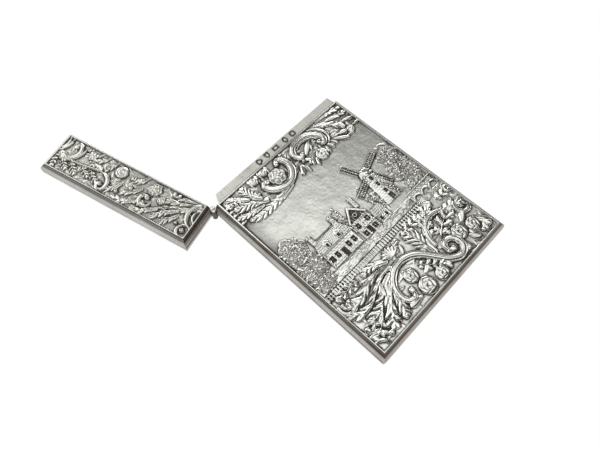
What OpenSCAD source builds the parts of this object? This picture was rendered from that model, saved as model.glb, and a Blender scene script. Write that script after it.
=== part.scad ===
/* [Case] */
// Width of the stamped panels, from border edge to border edge
panel_w = 68; // [60:0.5:80]
// Length of the body's panels, from the base to the mouth
body_h = 83.5; // [70:0.5:95]
// Length of the lid's panels, from its mouth to its top
lid_h = 16.5; // [14:0.5:24]
// Thickness of the case over the borders of both panels
case_t = 8; // [7.5:0.1:11]
// Gap between the body's mouth and the lid's when the lid is shut
seam_gap = 0.16; // [0.1:0.02:0.3]
// Angle by which the lid stands open from shut
lid_open = 104; // [0:1:120]

/* [Stamped panels] */
// Gauge of the stamped sheet
sheet_t = 0.4; // [0.3:0.05:0.6]
// Width of the raised border round each panel
border_w = 0.8; // [0.5:0.05:1.2]
// Height of the border above the stamped ground
border_h = 0.5; // [0.3:0.05:0.7]
// Height of the front scrollwork above the border
relief_proud = 0.4; // [0.1:0.05:0.5]
// Depth by which the back scrollwork stays under its border
relief_shy = 0.1; // [0.05:0.05:0.2]

/* [Side mouldings] */
// How far the half round moulding swells out past the panels
bulge = 1.9; // [1.4:0.1:2.1]
// Gauge of the hollow moulding strip
moulding_t = 0.5; // [0.4:0.05:0.6]
// Step from the panel's border down to the moulding's edge
moulding_step = 0.35; // [0.2:0.05:0.5]
// Radius of the rubbed outer corners
corner_r = 1.2; // [0.5:0.1:1.3]

/* [Liner] */
// Gauge of the liner strip
liner_t = 0.4; // [0.3:0.05:0.5]
// How far the liner stands out of the mouth
liner_reach = 4.1; // [3:0.1:5.5]
// How far the liner runs down inside the body
liner_depth = 9; // [6:0.5:14]
// Play between the liner's wide faces and the panels
liner_play = 0.08; // [0.05:0.01:0.15]
// Inset of the liner's end at the hinge side, at the mouth line
hinge_inset = 1.6; // [1.4:0.1:2.5]
// Further inset of that end at the liner's rim, where it leans in
hinge_lean = 1.1; // [0.5:0.1:1.5]
// Inset of the liner's end at the free side, at the mouth line
free_inset = 0.35; // [0.3:0.05:0.8]
// Further inset of the free end at the liner's rim
free_lean = 0.35; // [0.3:0.05:0.8]

/* [Hinge] */
// Outer radius of the hinge barrel
barrel_r = 1.1; // [0.9:0.05:1.3]
// Radius of the hinge pin
pin_r = 0.45; // [0.35:0.05:0.55]
// Running clearance between the pin and the knuckles, on the radius
pin_play = 0.03; // [0.02:0.01:0.06]
// Distance from the panel's edge out to the hinge axis
axis_out = 2.2; // [2.2:0.05:2.6]
// Number of knuckles, shared between the lid and the body
knuckles = 5; // [5:2:5]
// Gap between one knuckle and the next
knuckle_gap = 0.1; // [0.06:0.02:0.2]
// Clearance between a knuckle and the other half's seat
seat_play = 0.15; // [0.1:0.05:0.3]
// Length of the bearer block that fills the moulding's end
bearer_len = 3.2; // [2.5:0.1:5]
// Radius of the pin's riveted heads
rivet_r = 0.75; // [0.65:0.05:0.85]
// Height of the pin's riveted heads
rivet_h = 0.25; // [0.15:0.05:0.3]

/* [Scrollwork] */
// Width of the broad scroll bands
scroll_w = 2.2; // [1.6:0.1:3]
// Share of the relief height at which leaves and bands stop
low_share = 0.6; // [0.4:0.05:0.8]
// Share of a band's or leaf's width that its raised rib takes
rib_share = 0.42; // [0.3:0.02:0.6]
// Share of a band's or leaf's length by which its rib stops short at each end
rib_trim = 0.06; // [0.03:0.01:0.15]
// Height of the berries above the ribs
berry_proud = 0.12; // [0.05:0.01:0.2]
// Depth by which wear has flattened the berries
berry_rub = 0.03; // [0.02:0.01:0.06]

/* [Hidden] */
$fn = 48;
eps = 0.01;

// Places, with the origin at the middle of the body's back
edge_x = panel_w / 2;
base_y = -body_h / 2;
mouth_y = body_h / 2;
lid_y = mouth_y + seam_gap;
lid_top_y = lid_y + lid_h;
axis_x = -edge_x - axis_out;
axis_y = mouth_y + seam_gap / 2;
ground_z = case_t - border_h;
wall_z = border_h + sheet_t;
inner_t = case_t - 2 * wall_z;

// Half round moulding section, as a segment of one circle
strip_h = case_t - 2 * moulding_step;
arc_r = (pow(strip_h / 2, 2) + pow(bulge, 2)) / (2 * bulge);
arc_back = arc_r - bulge;

// Hinge barrel, cut into equal knuckles
barrel_len = strip_h - 0.2;
barrel_z = (case_t - barrel_len) / 2;
knuckle_len = (barrel_len - (knuckles - 1) * knuckle_gap) / knuckles;
bore_r = pin_r + pin_play;

relief_top = border_h + relief_proud;
relief_back = border_h - relief_shy;

silver = [0.78, 0.77, 0.74];
old_silver = [0.66, 0.65, 0.62];
bright_silver = [0.86, 0.86, 0.83];

// Puts lid pieces, drawn shut, at the open lid's place
module on_lid() {
  translate([axis_x, axis_y, 0]) rotate([0, 0, lid_open])
    translate([-axis_x, -axis_y, 0]) children();
}

// Points and outlines of the ornament
function polar(r, a) = [r * cos(a), r * sin(a)];

// One turn or part turn of a scroll: centre, first and last radius, angles
function scroll_side(c, r0, r1, a0, a1, w, side, steps, trim) = [
  for (i = [0:steps])
    let (t = trim + (1 - 2 * trim) * i / steps, half = w / 2 * (0.35 + 0.65 * sin(180 * pow(t, 0.8))))
      c + polar(r0 + (r1 - r0) * t + side * half, a0 + (a1 - a0) * t)
];
function reversed(list) = [for (i = [len(list) - 1:-1:0]) list[i]];

// The band of a scroll, or its narrower rib, which stops short of the band's ends by the trim
module scroll_outline(s, w, trim) {
  c = [s[0], s[1]];
  steps = max(6, ceil(abs(s[5] - s[4]) / 18));
  polygon(concat(
    scroll_side(c, s[2], s[3], s[4], s[5], w, 1, steps, trim),
    reversed(scroll_side(c, s[2], s[3], s[4], s[5], w, -1, steps, trim))
  ));
}

// Midrib of a leaf: start, heading, total bend, length
function rib_point(l, t) =
  let (bend = abs(l[3]) < 1 ? 1 : l[3], r = l[4] * 180 / (PI * bend), a = bend * t,
       x = r * sin(a), y = r * (1 - cos(a)), h = l[2])
    [l[0] + x * cos(h) - y * sin(h), l[1] + x * sin(h) + y * cos(h)];
function leaf_side(l, w, side, steps, trim) = [
  for (i = [0:steps])
    let (t = trim + (1 - 2 * trim) * i / steps, a = l[2] + l[3] * t + 90 * side,
         half = w / 2 * sin(180 * pow(t, 0.8)) * (0.62 + 0.38 * abs(sin(180 * l[6] * t))))
      rib_point(l, t) + polar(max(0.12, half), a)
];

module leaf_outline(l, w, trim) {
  steps = max(6, l[6] * 4);
  polygon(concat(leaf_side(l, w, 1, steps, trim), reversed(leaf_side(l, w, -1, steps, trim))));
}

// Points along arcs that follow on from one another: centre, first and last radius, angles
function arcs_path(arcs) = [
  for (k = [0:len(arcs) - 1])
    let (s = arcs[k], steps = ceil(abs(s[5] - s[4]) / 20))
      for (i = [(k == 0 ? 0 : 1):steps])
        [s[0], s[1]] + polar(s[2] + (s[3] - s[2]) * i / steps, s[4] + (s[5] - s[4]) * i / steps)
];

// One side of a band along such a path, full in its middle and thin at its curled ends
function path_side(p, w, side, cut) = [
  for (i = [cut:len(p) - 1 - cut])
    let (d = p[min(i + 1, len(p) - 1)] - p[max(i - 1, 0)], t = i / (len(p) - 1),
         half = w / 2 * (0.36 + 0.64 * sqrt(sin(180 * min(0.98, max(0.02, t))))))
      p[i] + side * half * [-d[1], d[0]] / norm(d)
];
module path_outline(arcs, w, cut) {
  p = arcs_path(arcs);
  polygon(concat(path_side(p, w, 1, cut), reversed(path_side(p, w, -1, cut))));
}

module rosette_outline(f) {
  for (k = [0:f[3] - 1])
    translate([f[0], f[1]] + polar(f[2] * 0.6, k * 360 / f[3] + f[4])) circle(f[2] * 0.42, $fn = 24);
}

// Ornament over a whole field, rising to the given height over the ground
module ornament(scrolls, leaves, rosettes, berries, height) {
  linear_extrude(height * low_share) {
    for (s = scrolls) scroll_outline(s, scroll_w * s[6], 0);
    for (l = leaves) leaf_outline(l, l[5], 0);
    for (f = rosettes) rosette_outline(f);
  }
  linear_extrude(height) {
    for (s = scrolls) scroll_outline(s, scroll_w * s[6] * rib_share, rib_trim);
    for (l = leaves) leaf_outline(l, l[5] * rib_share * 0.8, rib_trim);
    for (f = rosettes) translate([f[0], f[1]]) circle(f[2] * 0.38, $fn = 24);
  }
  for (b = berries) translate([b[0], b[1], 0]) berry(b[2], height + berry_proud);
}

// A ball with its top rubbed flat by wear
module berry(r, top) {
  intersection() {
    translate([0, 0, top + berry_rub - r]) sphere(r, $fn = 24);
    translate([-r, -r, 0]) cube([2 * r, 2 * r, top]);
  }
}

// Front of the body: each band of ornament is placed from the edge that it follows
function spread(x) = x * panel_w / 68;
function from_mouth(y) = mouth_y - 41.75 + y;
function from_base(y) = base_y + 41.75 + y;

crest_scrolls = [
  for (s = [
    [-8.2, 33.9, 6.6, 6.2, 55, -150, 1.3], [-5.6, 36.4, 3.2, 1.2, 62, 330, 0.8],
    [-12.6, 32.2, 3.0, 1.3, 215, 40, 0.8], [9.6, 34.3, 7.0, 6.2, 190, 0, 1.3],
    [5.0, 34.0, 2.6, 1.1, 200, 440, 0.8], [13.6, 33.2, 2.4, 1.0, 20, -200, 0.8],
    [16.2, 28.4, 2.0, 1.0, 100, 350, 0.6], [5.4, 29.2, 2.0, 1.0, 60, 300, 0.6]
  ]) [spread(s[0]), from_mouth(s[1]), s[2], s[3], s[4], s[5], s[6]]
];
crest_leaves = [
  for (l = [
    [-6, 27.4, 197, -32, 28, 7.4, 9], [-15, 30.5, 160, 10, 19, 7.0, 5], [-20, 34.2, 140, 20, 15, 6.0, 4],
    [15, 40, 335, -18, 15, 3.8, 6], [20, 35.5, 15, -10, 14, 5.4, 5], [22, 38.6, 10, 20, 12, 4.4, 5],
    [-17.2, 36.4, 100, 30, 5, 3.6, 1], [-11.5, 38.0, 80, 30, 5, 3.6, 1], [7.6, 32.6, 50, -20, 6, 3.4, 1],
    [0.4, 30.5, 230, 2, 4.6, 2.6, 1], [0.4, 30.4, 271, 2, 6.2, 2.6, 1], [0.4, 30.5, 310, 2, 4.6, 2.6, 1],
    [26, 34, 300, 30, 7, 3.0, 1], [22.6, 30, 215, 2, 5.6, 3.2, 1], [22.6, 29.9, 250, 2, 5.6, 3.2, 1],
    [22.7, 29.9, 285, 2, 5.6, 3.2, 1], [22.7, 30, 320, 2, 5.6, 3.2, 1]
  ]) [spread(l[0]), from_mouth(l[1]), l[2], l[3], l[4], l[5], l[6]]
];
crest_rosettes = [
  for (f = [[-8.6, 34.0, 3.2, 6, 0], [11.0, 28.2, 2.5, 5, 20]])
    [spread(f[0]), from_mouth(f[1]), f[2], f[3], f[4]]
];
crest_berries = [
  for (b = [[-4.6, 35.8, 0.85], [-11.6, 33.0, 0.75], [5.2, 35.1, 0.9], [12.7, 33.5, 0.9],
            [-1.6, 39.4, 0.8], [19.6, 39.4, 0.8], [17.2, 28.2, 0.6], [5.9, 28.3, 0.6]])
    [spread(b[0]), from_mouth(b[1]), b[2]]
];

// The long scroll: an eye, over the top, down the slope and round to the other eye
long_scroll_w = 3;
long_scroll = [
  for (s = [
    [-11.4, -34.2, 1.8, 2.6, 0, -150], [-5.4, -32.6, 8.8, 7.8, 200, 52],
    [21.6, -15.8, 23.6, 23.4, 207, 237], [13.2, -34.0, 4.6, 4.2, 205, 360], [13.2, -34.0, 4.2, 1.3, 0, 230]
  ]) [s[0], from_base(s[1]), s[2], s[3], s[4], s[5]]
];
foot_scrolls = [
  for (s = [
    [-29.6, -21.6, 3.6, 1.6, 150, 400, 0.8], [-33, -40.6, 6.4, 6.0, 10, 88, 0.7],
    [-33, -40.6, 3.6, 3.4, 5, 90, 0.6], [-30.6, -29, 4.6, 4.2, 200, 330, 0.7],
    [18.6, -28.6, 8.6, 7.8, 185, 45, 1.2], [30.6, -26.6, 3.6, 1.3, 120, 470, 0.9]
  ]) [spread(s[0]), from_base(s[1]), s[2], s[3], s[4], s[5], s[6]]
];
foot_leaves = [
  for (l = [
    [-6.5, -21.6, 172, 20, 24, 6.2, 7], [-8.5, -24.8, 186, 34, 23, 7.0, 6],
    [-12.5, -27.4, 208, 34, 20, 7.0, 5], [-15.4, -31.0, 236, 26, 12, 6.4, 4],
    [-20, -17.9, 172, 16, 11, 4.0, 4], [-0.5, -29.5, 310, 12, 12, 3.4, 5],
    [7.4, -31, 105, -18, 13.5, 6.2, 5], [11.5, -26.5, 70, -60, 15, 5.0, 5],
    [14.6, -28.6, 35, -30, 13, 6.0, 4], [24, -22.6, 350, -30, 9, 4.4, 4],
    [4, -18.4, 10, -20, 13, 4.2, 5], [29, -33, 300, 20, 7, 3.2, 1],
    [-9, -38.2, 170, 20, 6, 3.0, 1], [18.4, -35.8, 265, 15, 5, 2.8, 1], [30.8, -36.2, 240, 15, 5, 2.6, 1],
    [-4.4, -21, 35, 2, 4.4, 2.2, 1], [-4.4, -21, 85, 2, 4.6, 2.2, 1], [-4.4, -21, 135, 2, 4.4, 2.2, 1]
  ]) [spread(l[0]), from_base(l[1]), l[2], l[3], l[4], l[5], l[6]]
];
foot_rosettes = [
  for (f = [[-5.6, -30.6, 2.7, 5, 0], [-4.2, -37.2, 3.4, 6, 15], [3.2, -38.2, 2.7, 5, 0],
            [20.6, -32.6, 3.1, 6, 0], [26.8, -34.2, 2.6, 5, 30]])
    [spread(f[0]), from_base(f[1]), f[2], f[3], f[4]]
];
foot_berries = [
  for (b = [[-9.7, -34.3, 1.1], [12.8, -35, 1.1], [-28.4, -20.6, 0.8], [-27, -31.1, 0.8],
            [30.2, -25.4, 0.9], [-31.6, -32.4, 1.2], [-26.2, -38.6, 1.0], [31.4, -38.4, 1.2],
            [27.6, -38.7, 0.9], [-18.6, -38.8, 0.9], [7.4, -38.7, 0.9]])
    [spread(b[0]), from_base(b[1]), b[2]]
];

// A plain country view: hills, cottages, a windmill, a bridge and trees
hill_step = 0.22;
wall_step = hill_step * 2.6;
ground_y = -9.6;
mill_x = spread(15.4);
mill_y = -6.4;
mill_h = 15;
mill_foot = 4.4;
mill_head = 2.75;
sail_len = 10.6;
sail_w = 2.3;
sail_root = 2.8;
long_house_x = spread(-14.4);
gable_house_x = spread(-1.2);
barn_x = spread(6.6);
bridge_x = spread(26);
bridge_y = -13.4;
bridge_w = 14.4;
arch_pitch = 4.4;
window_w = 1.6;

module hill(x, y, wide, high, height) {
  linear_extrude(height) polygon([
    for (a = [0:15:180]) [x + wide * cos(a), y + high * sin(a)]
  ]);
}

// A house: a wall with its windows and door sunk, under a roof with its chimneys
module house(x, y, w, h, roof_w, roof_h, ridge, windows, window_y, chimneys, height) {
  translate([x, y, 0]) {
    linear_extrude(height) difference() {
      translate([-w / 2, 0]) square([w, h + 0.1]);
      for (u = windows, v = window_y)
        translate([u - window_w / 2, v]) square([window_w, window_w * 1.5]);
      translate([-0.8, -0.1]) square([1.6, 3.6]);
    }
    linear_extrude(height + hill_step) {
      polygon([
        [-roof_w / 2, h], [roof_w / 2, h],
        [roof_w / 2 * ridge, h + roof_h], [-roof_w / 2 * ridge, h + roof_h]
      ]);
      for (u = chimneys) {
        translate([u - 0.8, h + roof_h * 0.7]) square([1.6, 4.3]);
        translate([u - 1.1, h + roof_h * 0.7 + 4]) square([2.2, 0.6]);
      }
    }
  }
}

module windmill(height) {
  linear_extrude(height) polygon([
    [mill_x - mill_foot, mill_y], [mill_x + mill_foot, mill_y],
    [mill_x + mill_head, mill_y + mill_h], [mill_x - mill_head, mill_y + mill_h]
  ]);
  translate([mill_x, mill_y + mill_h, 0]) {
    linear_extrude(height + hill_step / 3)
      polygon([for (a = [0:18:180]) polar(mill_head + 0.2, a) - [0, 0.3]]);
    for (a = [22:90:292]) rotate([0, 0, a]) linear_extrude(height + hill_step) {
      translate([0, -0.25]) square([sail_len, 0.5]);
      difference() {
        translate([sail_root, 0]) square([sail_len - sail_root, sail_w]);
        for (k = [0:3]) translate([sail_root + 0.35 + k * 1.9, 0.35]) square([1.5, sail_w - 0.7]);
      }
    }
  }
}

module bridge(height) {
  linear_extrude(height) difference() {
    translate([bridge_x - bridge_w / 2, bridge_y]) square([bridge_w, 4.3]);
    for (k = [-1:1]) translate([bridge_x + k * arch_pitch, bridge_y - 0.1]) circle(1.84, $fn = 24);
  }
  translate([bridge_x - bridge_w / 2 - 0.2, bridge_y + 4.2, 0])
    cube([bridge_w + 0.4, 0.7, height + hill_step / 2]);
}

// A tree's crown: its oval mass and the lumps of foliage that stand up from it
module tree(x, y, wide, high, height) {
  linear_extrude(height * 0.6) {
    polygon([for (a = [0:20:340]) [x + wide * cos(a), y + high * sin(a)]]);
    translate([x - 0.37, y - high - 2.1]) square([0.74, 3]);
  }
  // A slim tree has one lump, near its top, and a broad one has six in a ring
  lumps = high > 2 * wide ? [[0, 0.23 * high]]
    : [for (k = [0:5]) [0.58 * wide * cos(k * 60 + 7), 0.58 * high * sin(k * 60 + 7)]];
  for (at = lumps)
    translate([x + at[0], y + at[1]])
      linear_extrude(height) circle(0.30 * wide + 0.35, $fn = 10);
  linear_extrude(height * 1.15) translate([x + 0.1, y]) circle(0.34 * wide, $fn = 10);
}

module scene() {
  hill(spread(-24), ground_y - 0.2, 20, 14, hill_step * 0.5);
  hill(spread(27), ground_y - 0.3, 19, 12, hill_step * 0.6);
  hill(spread(2), ground_y - 0.1, 21, 7, hill_step * 0.8);
  hill(spread(14.5), ground_y - 0.4, 13, 5.4, hill_step * 1.3);
  translate([spread(-33.2), -13.4, 0]) cube([spread(51.8), 3.9, hill_step * 1.4]);
  for (y = [-14.2, -15.4]) translate([spread(-33.2), y, 0]) cube([spread(51.4), 0.5, hill_step * 1.8]);
  house(long_house_x, -9.2, 15.4, 6.6, 17.2, 6, 0.74, [-5.8, -3, 3, 5.8], [2], [-6, 5.8], wall_step);
  house(gable_house_x, -10, 8.6, 8.4, 9.9, 6.2, 0.04, [-2.5, 2.5], [0.8, 4.8], [3.6], wall_step + 0.04);
  house(barn_x, -10.1, 5.4, 4, 6.4, 3.4, 0.7, [-1.9, 1.9], [1.1], [], wall_step - 0.05);
  windmill(hill_step * 3.6);
  bridge(hill_step * 2.7);
  for (p = [
    [-28.2, 6, 5.2, 6.6], [-31.2, -3.4, 3.6, 5], [-25, -2.6, 3.6, 4.6], [-28.8, -9.6, 5, 3.8],
    [28.6, 9, 4.6, 5.6], [24.6, 1, 3.6, 4.8], [31, -0.6, 3.6, 4.8], [27.2, -6, 5, 3.4],
    [-5.9, 3.2, 1.3, 5.6], [8.2, 2.2, 1.4, 5.4], [10.6, -1, 1.1, 3.6]
  ]) tree(spread(p[0]), p[1], p[2], p[3], hill_step * 3);
}

// One stamped sheet with its raised border on three sides and a narrower one at the mouth
module panel_blank(w, h, mouth_border) {
  difference() {
    translate([-w / 2, 0, 0]) cube([w, h, wall_z]);
    translate([-w / 2 + border_w, mouth_border, sheet_t])
      cube([w - 2 * border_w, h - border_w - mouth_border, wall_z]);
  }
}

// The same with the mouth at the far end, as on the body
module body_blank() {
  translate([0, body_h, 0]) mirror([0, 1, 0]) panel_blank(panel_w, body_h, border_w);
}

module field(w, h, mouth_border) {
  translate([-w / 2 + border_w, mouth_border, -eps])
    cube([w - 2 * border_w, h - border_w - mouth_border, case_t]);
}

module front_panel() {
  color(silver) {
    translate([0, base_y, case_t - wall_z]) body_blank();
    translate([0, 0, ground_z - eps]) intersection() {
      union() {
        ornament(crest_scrolls, crest_leaves, crest_rosettes, crest_berries, relief_top);
        ornament(foot_scrolls, foot_leaves, foot_rosettes, foot_berries, relief_top);
        linear_extrude(relief_top * 0.8) path_outline(long_scroll, long_scroll_w, 0);
        linear_extrude(relief_top * 1.06) path_outline(long_scroll, long_scroll_w * rib_share, 1);
        scene();
      }
      translate([0, base_y, 0]) field(panel_w, body_h, border_w);
    }
  }
}

// Back of the body: one quarter of the ornament, mirrored about a plain cartouche
quarter_scrolls = [
  for (s = [[10, 31, 5.5, 4.4, 200, -10, 1.2], [24, 18, 5.0, 3.6, 120, 330, 1.1],
            [20, 31, 3.0, 1.2, 160, 400, 0.8]])
    [spread(s[0]), from_mouth(s[1]), s[2], s[3], s[4], s[5], s[6]]
];
quarter_leaves = [
  for (l = [[3, 36, 345, -30, 16, 5.0, 5], [29, 12, 262, 10, 11, 4.6, 4], [14, 24, 320, 40, 12, 5.2, 5],
            [27, 28, 60, 30, 10, 4.6, 4], [6, 26, 250, 40, 9, 4.2, 4]])
    [spread(l[0]), from_mouth(l[1]), l[2], l[3], l[4], l[5], l[6]]
];
quarter_rosettes = [
  for (f = [[10, 31.4, 2.4, 6, 0], [29.5, 3.6, 2.2, 5, 0]])
    [spread(f[0]), from_mouth(f[1]), f[2], f[3], f[4]]
];
cartouche_r = 11;

module back_panel() {
  color(silver) {
    translate([0, base_y, wall_z]) mirror([0, 0, 1]) body_blank();
    translate([0, 0, border_h + eps]) mirror([0, 0, 1]) {
      intersection() {
        for (u = [0, 1], v = [0, 1]) mirror([u, 0, 0]) mirror([0, v, 0])
          ornament(quarter_scrolls, quarter_leaves, quarter_rosettes, [], relief_back);
        translate([0, base_y, 0]) field(panel_w, body_h, border_w);
      }
      linear_extrude(relief_back) difference() {
        circle(cartouche_r + 2.6);
        circle(cartouche_r + 1.2);
      }
      linear_extrude(border_h + eps) circle(cartouche_r);
    }
  }
}

// Front of the lid, measured from its mouth
lid_scrolls = [
  for (s = [
    [-12.4, 8.6, 4.2, 2.4, 150, -30, 0.9], [8.6, 11.4, 2.6, 1.0, 60, -190, 0.8],
    [28.2, 4.6, 3.6, 1.2, 80, 380, 0.9],
    [-29.4, 8.4, 3.8, 2.6, 80, 280, 0.9]
  ]) [spread(s[0]), s[1] * lid_h / 16.5, s[2], s[3], s[4], s[5], s[6]]
];
lid_leaves = [
  for (l = [
    [-33, 2, 12, 42, 14, 4.0, 5], [-32, 3.5, 50, 10, 12, 3.6, 4], [-19, 2.4, 10, 30, 10, 3.6, 4],
    [-6, 2.4, 70, -50, 9, 3.4, 4],
    [7.4, 9.6, 350, 16, 13, 2.8, 5], [9, 3, 4, 20, 12, 3.4, 4], [13, 14.4, 350, 10, 7, 2.8, 3],
    [21, 13.6, 0, 10, 11, 3.4, 4], [-20, 12, 10, -20, 12, 2.8, 4], [-4, 12.8, 350, 16, 9, 3.2, 3]
  ]) [spread(l[0]), l[1] * lid_h / 16.5, l[2], l[3], l[4], l[5], l[6]]
];
lid_rosettes = [
  for (f = [[-31, 13.6, 1.9, 5, 0], [-12.6, 4.4, 1.8, 5, 20], [3.6, 4.4, 2.4, 6, 0], [18.6, 6.4, 1.5, 5, 0]])
    [spread(f[0]), f[1] * lid_h / 16.5, f[2], f[3], f[4]]
];
lid_berries = [
  for (b = [[-10, 7.6, 0.8], [8.6, 11.4, 0.75], [27.8, 4.4, 0.75]]) [spread(b[0]), b[1] * lid_h / 16.5, b[2]]
];

module lid_field() {
  translate([0, lid_y, 0]) field(panel_w, lid_h, border_w / 2);
}

module lid_front_panel() {
  color(silver) on_lid() {
    translate([0, lid_y, case_t - wall_z]) panel_blank(panel_w, lid_h, border_w / 2);
    translate([0, 0, ground_z - eps]) intersection() {
      translate([0, lid_y, 0]) ornament(lid_scrolls, lid_leaves, lid_rosettes, lid_berries, relief_top);
      lid_field();
    }
  }
}

module lid_back_panel() {
  color(silver) on_lid() {
    translate([0, lid_y, wall_z]) mirror([0, 0, 1]) panel_blank(panel_w, lid_h, border_w / 2);
    translate([0, 0, border_h + eps]) mirror([0, 0, 1]) intersection() {
      translate([0, lid_y, 0]) for (u = [0, 1]) mirror([u, 0, 0])
        ornament([lid_scrolls[1], lid_scrolls[2]], [lid_leaves[5], lid_leaves[7]], [lid_rosettes[3]], [],
                 relief_back);
      lid_field();
    }
  }
}

// Hollow half round section: x outwards from the panel's edge, y through the thickness
module half_round(r) {
  intersection() {
    translate([-arc_back, case_t / 2]) circle(r, $fn = 96);
    translate([0, moulding_step]) square([bulge + 1, strip_h]);
  }
}

module moulding_section() {
  difference() {
    half_round(arc_r);
    translate([-eps, 0]) half_round(arc_r - moulding_t + eps);
    half_round(arc_r - moulding_t);
  }
}

// A strip along +Y from y0 to y1, swelling towards +X from x = 0
module strip(y0, y1) {
  translate([0, y1, 0]) rotate([90, 0, 0]) linear_extrude(y1 - y0) children();
}

// Plan of a strip's end mitred at the panel's corner, which is at y = 0, and its rubbed corner
module mitre_cut() {
  translate([0, 0, -1]) linear_extrude(case_t + 2) {
    polygon([[-1, 1], [bulge + 1, -bulge - 1], [bulge + 1, -bulge - 3], [-1, -bulge - 3]]);
    difference() {
      translate([bulge - corner_r, -bulge - eps]) square([corner_r + eps, corner_r + eps]);
      translate([bulge - corner_r, corner_r - bulge]) circle(corner_r);
    }
  }
}

module side_strip(length) {
  difference() {
    strip(-bulge - 1, length) moulding_section();
    mitre_cut();
  }
}

module end_strip() {
  difference() {
    strip(-bulge - 1, panel_w + bulge + 1) moulding_section();
    mitre_cut();
    translate([0, panel_w, 0]) mirror([0, 1, 0]) mitre_cut();
  }
}

// The last stretch at the hinge is solid, so that the knuckles have a seat
saddle_len = barrel_r + seat_play + 0.15;

module free_side_moulding() {
  color(bright_silver) translate([edge_x, base_y, 0]) side_strip(body_h);
}
module hinge_side_moulding() {
  color(bright_silver) translate([-edge_x, base_y, 0]) mirror([1, 0, 0]) side_strip(body_h - saddle_len);
}
module base_moulding() {
  color(bright_silver) translate([-edge_x, base_y, 0]) rotate([0, 0, -90]) end_strip();
}
module lid_free_side_moulding() {
  color(bright_silver) on_lid() translate([edge_x, lid_top_y, 0]) mirror([0, 1, 0]) side_strip(lid_h);
}
module lid_hinge_side_moulding() {
  color(bright_silver) on_lid()
    translate([-edge_x, lid_top_y, 0]) rotate([0, 0, 180]) side_strip(lid_h - saddle_len);
}
module lid_top_moulding() {
  color(bright_silver) on_lid() translate([edge_x, lid_top_y, 0]) rotate([0, 0, 90]) end_strip();
}

// Liner: a flat sleeve held in the body's mouth, necked in where the lid slides over it
module liner_plan(grow) {
  x0 = -edge_x + hinge_inset - grow;
  x1 = edge_x - free_inset + grow;
  polygon([
    [x0, mouth_y - liner_depth - 1], [x1, mouth_y - liner_depth - 1],
    [x1, mouth_y], [x1 - free_lean, mouth_y + liner_reach],
    [x0 + hinge_lean, mouth_y + liner_reach], [x0, mouth_y]
  ]);
}

module liner_block(grow, y0, y1, z_in) {
  intersection() {
    translate([0, 0, z_in]) linear_extrude(case_t - 2 * z_in) liner_plan(grow);
    translate([-edge_x, y0, 0]) cube([panel_w, y1 - y0, case_t]);
  }
}

module liner() {
  rim_y = mouth_y + liner_reach;
  foot_y = mouth_y - liner_depth;
  neck = wall_z + liner_play;
  color(bright_silver) difference() {
    union() {
      liner_block(0, foot_y, mouth_y, wall_z);
      liner_block(0, foot_y, rim_y, neck);
    }
    intersection() {
      translate([0, 0, neck + liner_t]) linear_extrude(case_t - 2 * (neck + liner_t)) liner_plan(-liner_t);
      translate([-edge_x, foot_y - 1, 0]) cube([panel_w, rim_y - foot_y + 1, case_t]);
    }
    translate([-edge_x, rim_y - liner_t, neck + liner_t])
      linear_extrude(case_t - 2 * (neck + liner_t)) liner_mouth();
  }
}

// Cuts the sleeve's ends open at the rim
module liner_mouth() {
  x0 = hinge_inset + hinge_lean + liner_t;
  x1 = panel_w - free_inset - free_lean - liner_t;
  polygon([[x0, -1], [x1, -1], [x1, liner_t + 1], [x0, liner_t + 1]]);
}

// Hinge: five knuckles on one pin, seated by turns in the lid's and the body's bearer
function knuckle_z(i) = barrel_z + i * (knuckle_len + knuckle_gap);

module knuckle(i) {
  difference() {
    translate([axis_x, axis_y, knuckle_z(i)]) cylinder(r = barrel_r, h = knuckle_len);
    translate([axis_x, axis_y, knuckle_z(i) - 1]) cylinder(r = bore_r, h = knuckle_len + 2);
  }
}

// A bearer is drawn for the body; own is 1 when the odd knuckles are its own, otherwise 0
module bearer(own) {
  difference() {
    translate([-edge_x, mouth_y, 0]) mirror([1, 0, 0]) {
      strip(-bearer_len, eps - saddle_len) half_round(arc_r - moulding_t);
      strip(-saddle_len, 0) half_round(arc_r);
    }
    translate([axis_x, axis_y, -1]) cylinder(r = barrel_r, h = case_t + 2);
    for (i = [0:knuckles - 1])
      if ((i + own) % 2 == 1)
        translate([axis_x, axis_y, knuckle_z(i) - knuckle_gap])
          cylinder(r = barrel_r + seat_play, h = knuckle_len + 2 * knuckle_gap);
  }
}

module body_bearer() {
  color(silver) bearer(1);
}
module lid_bearer() {
  color(silver) on_lid() translate([0, 2 * axis_y, 0]) mirror([0, 1, 0]) bearer(0);
}
module hinge_pin() {
  z0 = barrel_z;
  z1 = barrel_z + barrel_len;
  color(old_silver) translate([axis_x, axis_y, 0]) {
    translate([0, 0, z0]) cylinder(r = pin_r, h = z1 - z0);
    for (end = [0, 1])
      translate([0, 0, end == 0 ? z0 : z1]) mirror([0, 0, 1 - end]) rivet_head();
  }
}

// A head as a slice of a ball
module rivet_head() {
  ball_r = (rivet_r * rivet_r + rivet_h * rivet_h) / (2 * rivet_h);
  intersection() {
    translate([0, 0, rivet_h - ball_r]) sphere(ball_r);
    translate([-rivet_r, -rivet_r, 0]) cube([2 * rivet_r, 2 * rivet_r, rivet_h + 1]);
  }
}

front_panel();
back_panel();
hinge_side_moulding();
free_side_moulding();
base_moulding();
liner();
body_bearer();
lid_front_panel();
lid_back_panel();
lid_hinge_side_moulding();
lid_free_side_moulding();
lid_top_moulding();
lid_bearer();
color(silver) knuckle(0);  // lid_knuckle_bottom
color(silver) knuckle(1);  // body_knuckle_lower
color(silver) knuckle(2);  // lid_knuckle_middle
color(silver) knuckle(3);  // body_knuckle_upper
color(silver) knuckle(4);  // lid_knuckle_top
hinge_pin();
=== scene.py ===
import math

import bmesh
import bpy
import numpy as np
from mathutils import Matrix, Vector


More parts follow.
